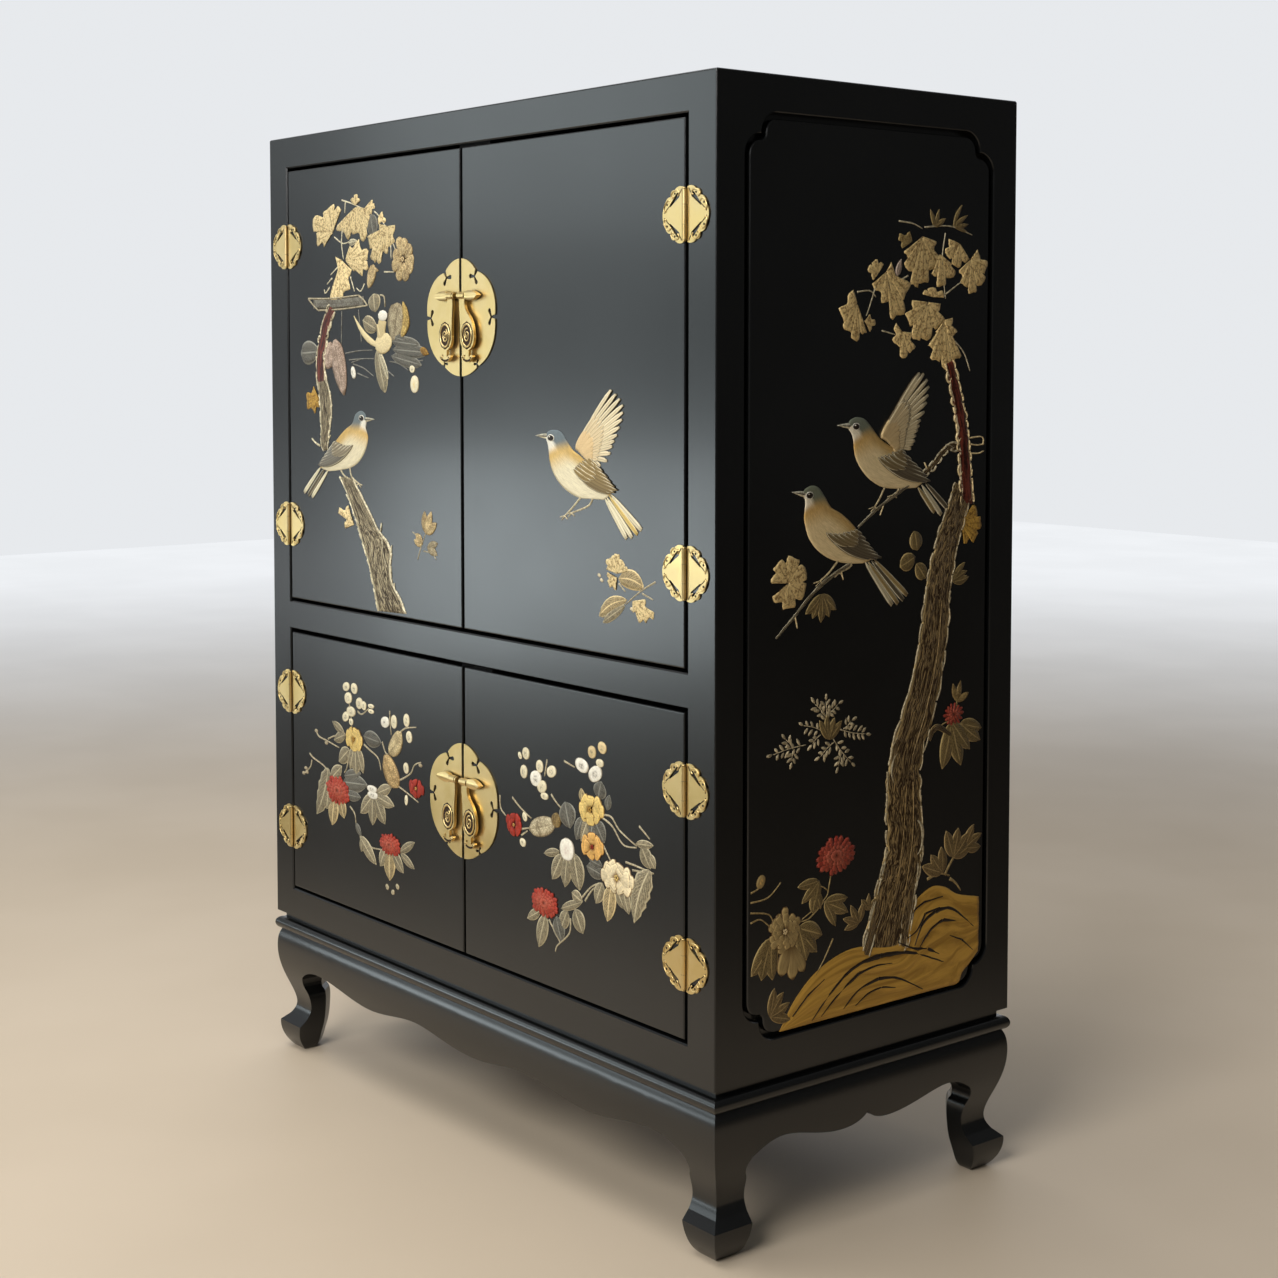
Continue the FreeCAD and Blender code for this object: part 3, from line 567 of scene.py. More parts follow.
def feather_paint():
    """Feather with a dark shaft, finely barred vanes and pale borders."""
    f = Finish("feather_paint", {"Specular IOR Level": 0.18})
    edge, along, tint = f.edge(), f.along(), f.tint()
    barb = f.slanted(edge, along, 0.12, 36.0)
    vane = f.tones(f.ease(barb, 0.2, 0.9), tint, (0.86, 0.85, 0.82), (1.08, 1.08, 1.06))
    vane = f.mix(f.ease(edge, 0.14, 0.04, 0.0, 0.8), vane, f.times(tint, (0.40, 0.34, 0.28)))
    body = f.mix(f.ease(edge, 0.64, 0.76, 0.0, 0.9), vane, f.tint("lip"))
    rim = f.ease(edge, 0.84, 0.95, 0.0, 0.9)
    f.give("Base Color", f.mix(rim, body, f.times(tint, (0.14, 0.11, 0.08))))
    f.rough(barb, 0.4, 0.5, 0.2, 0.9)
    f.bump(f.math("ADD", f.ease(edge, 0.0, 0.1), f.product(barb, 0.3)), 0.0003, 0.5)
    return f.material


def plumage():
    """Short painted strokes of down over the bodies of the birds."""
    f = Finish("plumage", {"Specular IOR Level": 0.18})
    tint = f.tint()
    down = f.noise(1.6, 4.0, 0.6, 0.3, f.drawing((26.0, 9.0, 1.0)))
    speck = f.noise(500.0)
    body = f.tones(f.ease(down, 0.35, 0.65), tint, (0.84, 0.82, 0.78), (1.08, 1.08, 1.06))
    fleck = f.ease(speck, 0.4, 0.7, 0.0, 0.25)
    f.give("Base Color", f.mix(fleck, body, f.times(tint, (0.7, 0.66, 0.6))))
    f.rough(down, 0.38, 0.52)
    f.bump(f.math("ADD", down, f.product(speck, 0.5)), 0.0004, 0.45)
    return f.material


def gilded_bark():
    """Bark with long dark fissures between pale gilded ridges."""
    f = Finish("gilded_bark", {"Metallic": 0.1, "Specular IOR Level": 0.2})
    tint = f.tint()
    broad = f.noise(1.0, 3.0, 0.6, 0.6, f.drawing((9.0, 1.3, 1.0)))
    fine = f.noise(1.0, 3.0, 0.6, 0.4, f.drawing((26.0, 4.0, 1.0)))
    speck = f.noise(420.0)
    ridge = f.ease(f.zigzag(f.product(broad, 6.0)), 0.72, 0.26)
    light = f.product(ridge, f.ease(fine, 0.36, 0.58, 0.14, 1.0), f.ease(speck, 0.3, 0.55, 0.6, 1.0))
    rim = f.product(f.ease(f.edge(), 0.84, 0.93), f.ease(fine, 0.34, 0.46))
    body = f.tones(light, tint, (0.10, 0.075, 0.055), (1.15, 1.12, 1.05))
    f.give("Base Color", f.mix(rim, body, f.times(tint, (1.45, 1.5, 1.55))))
    f.rough(speck, 0.34, 0.55)
    f.bump(f.greatest(light, rim), 0.0012, 0.7)
    return f.material


BARK_BEADS = (0.62, 0.50, 0.32)


def maroon_bark():
    """Smooth red-brown bark with a beaded pale edge."""
    f = Finish("maroon_bark", {"Specular IOR Level": 0.2})
    knot = f.noise(130.0)
    drift = f.noise(1.0, 4.0, 0.6, 0.5, f.drawing((5.0, 1.6, 1.0)))
    speck = f.noise(420.0)
    bead = f.product(f.ease(f.edge(), 0.70, 0.82), f.ease(knot, 0.40, 0.50))
    worn = f.ease(f.math("MULTIPLY_ADD", speck, 0.4, drift), 0.58, 0.82)
    body = f.tones(worn, f.tint(), (0.25, 0.22, 0.2), (1.9, 1.9, 1.9))
    f.give("Base Color", f.mix(f.product(bead, 0.95), body, BARK_BEADS))
    f.rough(speck, 0.3, 0.48)
    f.bump(f.math("ADD", knot, bead), 0.0008, 0.6)
    return f.material


def gilded_rock():
    """Brushed ochre gilding with worn, darker drifts."""
    f = Finish("gilded_rock", {"Metallic": 0.2, "Specular IOR Level": 0.25})
    tint = f.tint()
    drift = f.noise(1.0, 5.0, 0.6, 0.8, f.drawing((9.0, 3.5, 1.0)))
    speck = f.noise(380.0, 4.0)
    body = f.tones(f.ease(drift, 0.32, 0.66), tint, (0.66, 0.61, 0.55), (1.15, 1.14, 1.05))
    fleck = f.ease(speck, 0.66, 0.76, 0.0, 0.5)
    f.give("Base Color", f.mix(fleck, body, f.times(tint, (0.3, 0.25, 0.2))))
    f.rough(drift, 0.34, 0.5)
    f.bump(f.math("ADD", drift, f.product(speck, 0.4)), 0.0008, 0.5)
    return f.material


def brushed_line():
    """Thin raised stroke, a little uneven."""
    f = Finish("brushed_line", {"Specular IOR Level": 0.2})
    speck = f.noise(260.0)
    body = f.tones(f.ease(speck, 0.35, 0.65), f.tint(), (0.55, 0.52, 0.48), (1.1, 1.1, 1.1))
    f.give("Base Color", body)
    f.rough(speck, 0.35, 0.5)
    f.bump(speck, 0.0003, 0.5)
    return f.material


def scroll_brass():
    return polished_brass(bpy.context.scene.cabinet_brass, "scroll_brass")


def scroll_ground():
    """Blackened brass left in the ground of the scrolls."""
    patina = bpy.context.scene.cabinet_brass.patina
    f = Finish("scroll_ground", {"Metallic": 0.6})
    cloud = f.noise(320.0, 4.0)
    f.give("Base Color", f.mix(f.ease(cloud, 0.35, 0.7), scaled(patina, 0.45), patina))
    f.rough(cloud, 0.45, 0.62)
    f.bump(cloud, 0.0001, 0.5)
    return f.material


PAINTS = {
    "grain": grained_gilding, "lobed": lobed_leaf, "vein": veined_leaf, "petal": painted_petal,
    "bud": pale_bud, "feather": feather_paint, "down": plumage, "bark": gilded_bark,
    "maroon": maroon_bark, "rock": gilded_rock, "line": brushed_line,
    "brass": scroll_brass, "ground": scroll_ground,
}


def paint(kind):
    """The named paint, mixed once."""
    made = bpy.data.materials.get(PAINTS[kind].__name__)
    return made or PAINTS[kind]()


def step(low, high, x):
    """Smooth step from 0 at low to 1 at high."""
    k = min(1.0, max(0.0, (x - low) / (high - low)))
    return k * k * (3 - 2 * k)


def zig(x):
    """1 at whole numbers, 0 half way between."""
    return abs(2 * (x % 1.0) - 1)


def flow(points, t):
    """Point at share t of a smooth line through the points."""
    last = len(points) - 1
    i = min(int(t * last), last - 1)
    k = t * last - i
    a, b, c, d = points[max(i - 1, 0)], points[i], points[i + 1], points[min(i + 2, last)]
    square = a * 2 - b * 5 + c * 4 - d
    cube = b * 3 - a - c * 3 + d
    return (b * 2 + (c - a) * k + square * k ** 2 + cube * k ** 3) * 0.5


def heading(degrees, reach=1.0):
    return Vector((math.cos(math.radians(degrees)), math.sin(math.radians(degrees)))) * reach


def vectors(points):
    return [Vector(point) for point in points]


# Millimetres of stem for each length of the drawing map
MAP_RUN = 60.0
# How deep a relief is set in its face, and the least height of its leaves and of its stems, in millimetres
SUNK = 0.3
LEAF_BASE = 0.12
STEM_BASE = 0.1
# Height of a bole in heights of the relief, and how far the notches of a lobed leaf are cut in
BOLE_RISE = 1.7
LOBE_NOTCH = 0.13
# Fullness of a plain leaf at its base and at its tip
LEAF_SWELL = (0.75, 0.85)


def rounded(s, t):
    """Height of a stem: round across, and lower close to both ends."""
    return min(1.0, 12 * t + 0.25, 12 * (1 - t) + 0.25) * math.sqrt(1 - 0.92 * s * s)


class Drawing:
    """Raised decoration for one face, in millimetres across and up it, with height towards the viewer.

    Places are given right of and below the corner of its sheet.
    """

    def __init__(self, settings, seed):
        self.settings = settings
        self.high = settings.relief / MM
        self.bm = bmesh.new()
        self.uv = self.bm.loops.layers.uv.new("drawing")
        self.tints = self.bm.verts.layers.float_color.new("tint")
        self.lips = self.bm.verts.layers.float_color.new("lip")
        self.kinds = []
        self.chance = random.Random(seed)

    def shade(self, tint):
        return tuple(getattr(self.settings, tint)) if isinstance(tint, str) else tuple(tint)

    def mixed(self, first, second, k):
        """A colour at share k of the way from the first to the second."""
        return blend(self.shade(first), self.shade(second), k)

    def vary(self, tint, spread=0.12):
        """A colour, a little lighter or darker by chance."""
        k = 1 + self.chance.uniform(-spread, spread)
        return tuple(min(1.0, c * k) for c in self.shade(tint))

    def coat(self, verts, kind, tint, lip, stretch=(1.0, 1.0)):
        """Gives new geometry its paint, its colours and its share of the drawing map."""
        if kind not in self.kinds:
            self.kinds.append(kind)
        index = self.kinds.index(kind)
        for vert in verts:
            vert[self.lips] = (*self.shade(lip or tint), 1.0)
            if not callable(tint):
                vert[self.tints] = (*self.shade(tint), 1.0)
        for face in {face for vert in verts for face in vert.link_faces}:
            face.material_index = index
            face.smooth = True
            for loop in face.loops:
                loop[self.uv].uv *= Vector(stretch)

    def sheet(self, across, along, place, kind, tint, lip=None, stretch=(1.0, 1.0)):
        """A grid shaped by place(side -1 to 1, share along 0 to 1); a tint made by a rule needs a lip."""
        made = bmesh.ops.create_grid(
            self.bm, x_segments=across, y_segments=along, size=1.0, calc_uvs=True)["verts"]
        for vert in made:
            s, t = vert.co.x, 0.5 + vert.co.y / 2
            if callable(tint):
                vert[self.tints] = (*tint(s, t), 1.0)
            vert.co = place(s, t)
        self.coat(made, kind, tint, lip, stretch)

    def leaf(self, base, tip, width, kind, tint, swell=(0.7, 1.0), bend=0.0, high=1.0, lift=0.0,
             teeth=0, cut=0.2, cells=(4, 8), lip=None):
        """A leaf, petal or feather from its base to its tip."""
        base, tip = Vector(base), Vector(tip)
        axis = tip - base
        side = Vector((axis.y, -axis.x)).normalized()
        a, b = swell
        peak = a / (a + b)

        def half(t):
            t = min(max(t, 0.004), 0.996)
            wide = (t / peak) ** a * ((1 - t) / (1 - peak)) ** b
            if teeth:
                wide *= 1 - cut * ((t * teeth) % 1.0)
            return max(0.25, width / 2 * wide)

        def place(s, t):
            spot = base + axis * t + side * (s * half(t) + bend * axis.length * math.sin(math.pi * t))
            rise = math.sqrt(1 - 0.9 * s * s) * math.sin(math.pi * (0.15 + 0.72 * t))
            return Vector((spot.x, spot.y, LEAF_BASE + lift + self.high * high * rise))

        self.sheet(*cells, place, kind, tint, lip)

    def stem(self, points, start, end, kind, tint, high, lift, rough=0.0, across=2, pace=4.0):
        """A twig, stalk or trunk along a smooth line."""
        points = vectors(points)
        run = sum((b - a).length for a, b in zip(points, points[1:]))
        steps = max(4, int(run / max(pace, 0.22 * (start + end))))
        if rough:
            steps *= 2
        beat = self.chance.uniform(0.0, 6.0)

        def place(s, t):
            spot = flow(points, t)
            ahead = flow(points, min(1.0, t + 0.02)) - flow(points, max(0.0, t - 0.02))
            side = Vector((ahead.y, -ahead.x)).normalized()
            half = (start + (end - start) * t) / 2
            sway = math.sin(run * t / 6.1 + beat) + 0.7 * math.sin(run * t / 2.9 + 2.1 * beat + s)
            half = max(0.25, half * (1 + rough * sway))
            spot = spot + side * s * half
            return Vector((spot.x, spot.y, STEM_BASE + lift + self.high * high * rounded(s, t)))

        self.sheet(across, steps, place, kind, tint, stretch=(1.0, max(1.0, run / MAP_RUN)))

    def bead(self, centre, wide, tall, turn, kind, tint, high, lift=0.0):
        """A small rounded drop."""
        made = bmesh.ops.create_icosphere(self.bm, subdivisions=2, radius=1.0, calc_uvs=True)["verts"]
        shape = Matrix.Diagonal((wide / 2, tall / 2, self.high * high, 1.0))
        where = Matrix.Translation((centre[0], centre[1], STEM_BASE + lift))
        turned = Matrix.Rotation(math.radians(turn), 4, "Z")
        bmesh.ops.transform(self.bm, verts=made, matrix=where @ turned @ shape)
        self.coat(made, kind, tint, tint)

    def finish(self, name, body, matrix):
        """Closes the relief behind, puts it on its face and makes the piece."""
        bm = self.bm
        rim = [edge for edge in bm.edges if edge.is_boundary]
        wall = bmesh.ops.extrude_edge_only(bm, edges=rim)["geom"]
        for vert in (part for part in wall if isinstance(part, bmesh.types.BMVert)):
            vert.co.z = -SUNK
        bmesh.ops.holes_fill(bm, edges=[edge for edge in bm.edges if edge.is_boundary], sides=0)
        bmesh.ops.transform(bm, verts=bm.verts, matrix=matrix)
        bmesh.ops.recalc_face_normals(bm, faces=bm.faces)
        piece = make(name, bm, [paint(kind) for kind in self.kinds])
        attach(piece, body)


def vine_leaf(d, heart, tips, tint="gold", lift=0.0):
    """A broad leaf that opens from its heart with a rounded lobe towards each tip."""
    heart = Vector(heart)
    arms = [tip - heart for tip in vectors(tips)]
    lobes = len(arms)
    turn = math.copysign(1, sum(a.x * b.y - a.y * b.x for a, b in zip(arms, arms[1:])))
    rim = [arms[0] * 0.6]
    for i, arm in enumerate(arms):
        ahead, behind = arms[min(i + 1, lobes - 1)], arms[max(i - 1, 0)]
        side = Vector((-arm.y, arm.x)).normalized() * turn * 0.19 * (ahead - behind).length
        rim += [arm * 0.97 - side, arm * 0.97 + side, (arm + ahead) * 0.5 * (1 - LOBE_NOTCH)]
    rim[-1] = arms[-1] * 0.6
    beat = d.chance.uniform(0.0, 6.0)

    def place(s, t):
        turned = (s + 1) / 2
        off = zig(turned * lobes)
        ruffle = 1 + 0.03 * math.sin(17 * turned * lobes + beat) * t
        spot = heart + flow(rim, turned) * (0.04 + 0.96 * t) * ruffle
        rise = (1.05 - 0.5 * off) * math.sin(math.pi * (0.16 + 0.72 * t))
        return Vector((spot.x, spot.y, LEAF_BASE + lift + d.high * rise))

    d.sheet(9 * lobes, 8, place, "lobed", d.vary(tint, 0.14), stretch=(lobes, 1.0))


def edge_line(points, start, end, hand):
    """Points along one border of a tapering stem."""
    points = vectors(points)
    last = len(points) - 1
    line = []
    for i, spot in enumerate(points):
        ahead = points[min(i + 1, last)] - points[max(i - 1, 0)]
        half = (start + (end - start) * i / last) / 2
        line.append(spot + Vector((ahead.y, -ahead.x)).normalized() * hand * half)
    return line


def border(d, line, hand, edge, pieces, lift):
    """A broken, knotty pale line along one border of a trunk."""
    for i in range(pieces):
        a, b = flow(line, i / pieces), flow(line, (i + d.chance.uniform(0.7, 1.0)) / pieces)
        out = Vector((b.y - a.y, a.x - b.x)).normalized() * hand * d.chance.uniform(-1.0, 3.2)
        d.stem([a, (a + b) / 2 + out, b], 3.0, 1.8, "line", d.vary(edge, 0.25), 0.9, lift + 0.7, 0.2)
        if i % 3 == 1:
            knot = [b, b - out + (a - b) * 0.3, (a + b) / 2 - out * 2]
            d.stem(knot, 2.0, 1.2, "line", d.vary(edge, 0.25), 0.8, lift + 0.7)


def trunk(d, points, start, end, kind, tint, edge, pieces, across, high, lift=0.0, rough=0.06):
    """A trunk along a smooth line, from one width to another."""
    d.stem(points, start, end, kind, tint, high, lift, rough, across)
    for hand in (-1, 1):
        border(d, edge_line(points, start, end, hand), hand, edge, pieces, lift)


def bole(d, left, right, kind, tint, edge, pieces):
    """A trunk between two borders."""
    sides = [vectors(left), vectors(right)]
    run = sum((b - a).length for a, b in zip(sides[0], sides[0][1:]))

    def place(s, t):
        spot = flow(sides[0], t).lerp(flow(sides[1], t), 0.5 + s / 2)
        return Vector((spot.x, spot.y, STEM_BASE + d.high * BOLE_RISE * rounded(s, t)))

    d.sheet(12, int(run / 5), place, kind, tint, stretch=(1.0, run / MAP_RUN))
    for line, hand in zip(sides, (1, -1)):
        border(d, line, hand, edge, pieces, 0.0)


# How far each ring of petals stands over the last, and the pale tips of the asters
RING_LIFT = 0.36
ASTER_TIPS = (0.66, 0.22, 0.13)


def blossom(d, centre, size, tint, petals, rings, kind="petal", heart="ochre", squash=1.0, lift=0.0):
    """Ruffled flower of short overlapping petals, ring inside ring."""
    centre = Vector(centre)
    for ring in range(rings):
        reach = size * (1 - 0.70 * ring / rings)
        count = max(4, petals - 2 * ring)
        for i in range(count):
            run = heading(360 * (i + 0.5 * (ring % 2)) / count + d.chance.uniform(-7, 7))
            run.y *= squash
            tip = centre + run * reach * d.chance.uniform(0.86, 1.06)
            d.leaf(centre + run * reach * 0.22, tip, reach * 5.4 / count, kind, d.vary(tint, 0.16),
                   swell=(0.8, 0.26), teeth=2, cut=0.08, lift=lift + RING_LIFT * ring + 0.12 * (i % 3),
                   cells=(4, 7))
    for i in range(5):
        spot = centre + heading(72 * i, size * 0.08)
        d.bead(spot, size * 0.11, size * 0.11, 0, "petal", heart, 0.7, lift + RING_LIFT * rings + 0.3)


def aster(d, centre, size, tint, squash, count, rings, turn, lift):
    """Many-petalled flower with narrow petals, paler here and there."""
    centre = Vector(centre)
    for ring in range(rings):
        reach = size * (1 - 0.23 * ring)
        total = count - 3 * ring
        for i in range(total):
            run = heading(360 * (i + 0.5 * (ring % 2)) / total + turn + d.chance.uniform(-4, 4))
            run.y *= squash
            start = centre + run * reach * 0.30 if ring < rings - 1 else centre
            tip = centre + run * reach * d.chance.uniform(0.88, 1.04)
            tone = blend(d.vary(tint, 0.16), ASTER_TIPS, d.chance.uniform(0.0, 0.16) + 0.08 * ring)
            d.leaf(start, tip, size * 0.25, "petal", tone, swell=(0.6, 0.3), high=0.8,
                   lift=lift + 0.40 * ring, cells=(2, 5))


def bud(d, centre, wide, tall, turn, tint="cream", mark="umber", lift=0.0):
    """Closed bud with a small smear of colour; turn 0 points up."""
    centre = Vector(centre)
    run = heading(turn - 90, tall / 2)
    d.leaf(centre - run, centre + run, wide, "bud", d.vary(tint, 0.08), swell=(0.42, 0.42), high=1.2,
           lift=lift, cells=(6, 9), lip=d.mixed(tint, mark, 0.8))


def fan(d, root, ways, reach, width, tint, kind="vein", swell=LEAF_SWELL, lift=0.0):
    """Leaves that spread from one point, a heading for each."""
    root = Vector(root)
    for i, way in enumerate(ways):
        tip = root + heading(way, reach * d.chance.uniform(0.88, 1.08))
        d.leaf(root, tip, width * d.chance.uniform(0.9, 1.1), kind, d.vary(tint), swell,
               d.chance.uniform(-0.05, 0.05), 0.9, lift + 0.12 * (i % 3))


def foliage(d, rows):
    """Veined leaves, each by its base, tip, width, tint and lift."""
    for root, tip, width, tint, lift in rows:
        d.leaf(root, tip, width, "vein", d.vary(tint), LEAF_SWELL, 0.0, 0.9, lift)


def twigs(d, lines, start, end, tint="beige", lift=0.0):
    for line in lines:
        d.stem(line, start, end, "line", tint, 0.7, lift)


def spray(d, root, tip, pairs, size, tint):
    """A fine twig with small leaves in pairs and one at its end."""
    root, tip = Vector(root), Vector(tip)
    way = math.degrees(math.atan2(tip.y - root.y, tip.x - root.x))
    twigs(d, [(root, (root + tip) / 2 + heading(way + 90, size * 0.15), tip)], 1.6, 1.0, tint)
    places = [(root.lerp(tip, (i + 1) / (pairs + 1)), part) for i in range(pairs) for part in (-52, 52)]
    for spot, part in places + [(tip, 0)]:
        turn = way + part + d.chance.uniform(-14, 14)
        start = spot + heading(turn, 1.5)
        end = start + heading(turn, size * d.chance.uniform(0.8, 1.15))
        d.leaf(start, end, size * 0.42, "line", d.vary(tint, 0.3), swell=(0.6, 0.6), high=0.8, cells=(2, 5))


# Key lines of the four birds, on the sheets that their faces are drawn on
HOVERING = {
    "beak": ((771, 473), (749, 473)), "eye": ((784, 475), (791, 479)),
    "back": ((771, 471), (778, 466), (791, 464), (806, 467), (818, 478), (832, 490), (852, 499), (875, 515),
             (897, 532), (913, 544)),
    "breast": ((771, 476), (776, 484), (778, 495), (780, 506), (786, 519), (798, 532), (818, 544),
               (845, 552), (873, 552), (898, 552)),
    "wing_roots": ((836, 515), (845, 508), (857, 502), (866, 499)),
    "wing_tips": ((911, 543), (927, 539), (917, 531), (904, 521), (888, 510)),
    "tail_roots": ((901, 550), (913, 544)), "tail_tips": ((946, 599), (957, 597), (968, 592), (976, 586)),
    "fan_roots": ((841, 488), (848, 492), (855, 496), (862, 498)),
    "fan_tips": ((914, 410), (924, 415), (932, 421), (938, 429), (938, 438), (936, 447), (931, 457),
                 (926, 467), (920, 475), (916, 482), (912, 491), (905, 501), (891, 508)),
    "legs": (((850, 550), (829, 567), (813, 578)), ((875, 550), (864, 562), (828, 573))),
}
PERCHED = {
    "beak": ((312, 462), (335, 461)), "eye": ((300, 460), (307, 464)),
    "back": ((312, 460), (308, 453), (296, 449), (280, 455), (270, 469), (249, 479), (224, 495), (202, 513),
             (182, 528), (172, 540)),
    "breast": ((312, 465), (310, 474), (313, 481), (316, 490), (312, 502), (302, 516), (285, 529),
               (263, 537), (230, 542), (199, 545)),
    "wing_roots": ((274, 502), (255, 503), (238, 501), (224, 498)),
    "wing_tips": ((185, 538), (170, 537), (176, 530), (189, 520), (200, 513)),
    "tail_roots": ((197, 544), (174, 540)), "tail_tips": ((147, 588), (135, 586), (122, 582)),
    "legs": (((234, 540), (246, 550), (270, 556)), ((262, 535), (267, 550), (288, 560))),
}
SIDE_HOVERING = {
    "beak": ((243, 455), (224, 454)), "eye": ((256, 456), (262, 460)),
    "back": ((243, 453), (248, 447), (259, 444), (273, 447), (284, 456), (300, 472), (318, 482), (343, 494),
             (368, 513), (382, 532)),
    "breast": ((244, 459), (250, 466), (253, 475), (254, 486), (258, 498), (267, 511), (283, 525),
               (307, 536), (338, 539), (368, 539)),
    "wing_roots": ((296, 497), (311, 494), (326, 490), (335, 489)),
    "wing_tips": ((374, 531), (394, 532), (383, 520), (368, 509), (348, 495)),
    "tail_roots": ((372, 539), (386, 533)), "tail_tips": ((404, 573), (417, 577), (429, 569)),
    "fan_roots": ((303, 472), (310, 475), (318, 480), (326, 484)),
    "fan_tips": ((372, 388), (380, 389), (387, 397), (390, 406), (389, 417), (386, 427), (382, 439),
                 (375, 450), (373, 457), (370, 463), (367, 470), (365, 477), (362, 481), (358, 487),
                 (348, 494)),
    "legs": (((311, 535), (302, 549), (292, 561)), ((337, 537), (334, 543), (326, 547))),
}
SIDE_PERCHED = {
    "beak": ((164, 539), (146, 536)), "eye": ((175, 541), (181, 545)),
    "back": ((164, 537), (170, 532), (180, 529), (192, 532), (203, 544), (214, 558), (232, 567), (253, 582),
             (268, 599), (289, 628)),
    "breast": ((165, 542), (169, 548), (168, 560), (167, 570), (170, 582), (176, 596), (190, 611),
               (213, 624), (241, 631), (270, 633)),
    "wing_roots": ((204, 590), (222, 592), (239, 591), (254, 590)),
    "wing_tips": ((281, 628), (303, 628), (292, 619), (281, 608), (268, 596)),
    "tail_roots": ((275, 632), (292, 630)), "tail_tips": ((325, 691), (336, 690), (346, 686), (353, 680)),
    "legs": (((227, 627), (210, 642), (195, 651)), ((251, 630), (247, 637), (228, 642))),
}


# What the slate of the crowns turns to on the warm, dim side panels
WARM_CROWN = (0.15, 0.16, 0.10)
# Toes of a bird that looks left, across and down from its ankle
TOES = ((-11, 2), (-7, 6), (7, 4))


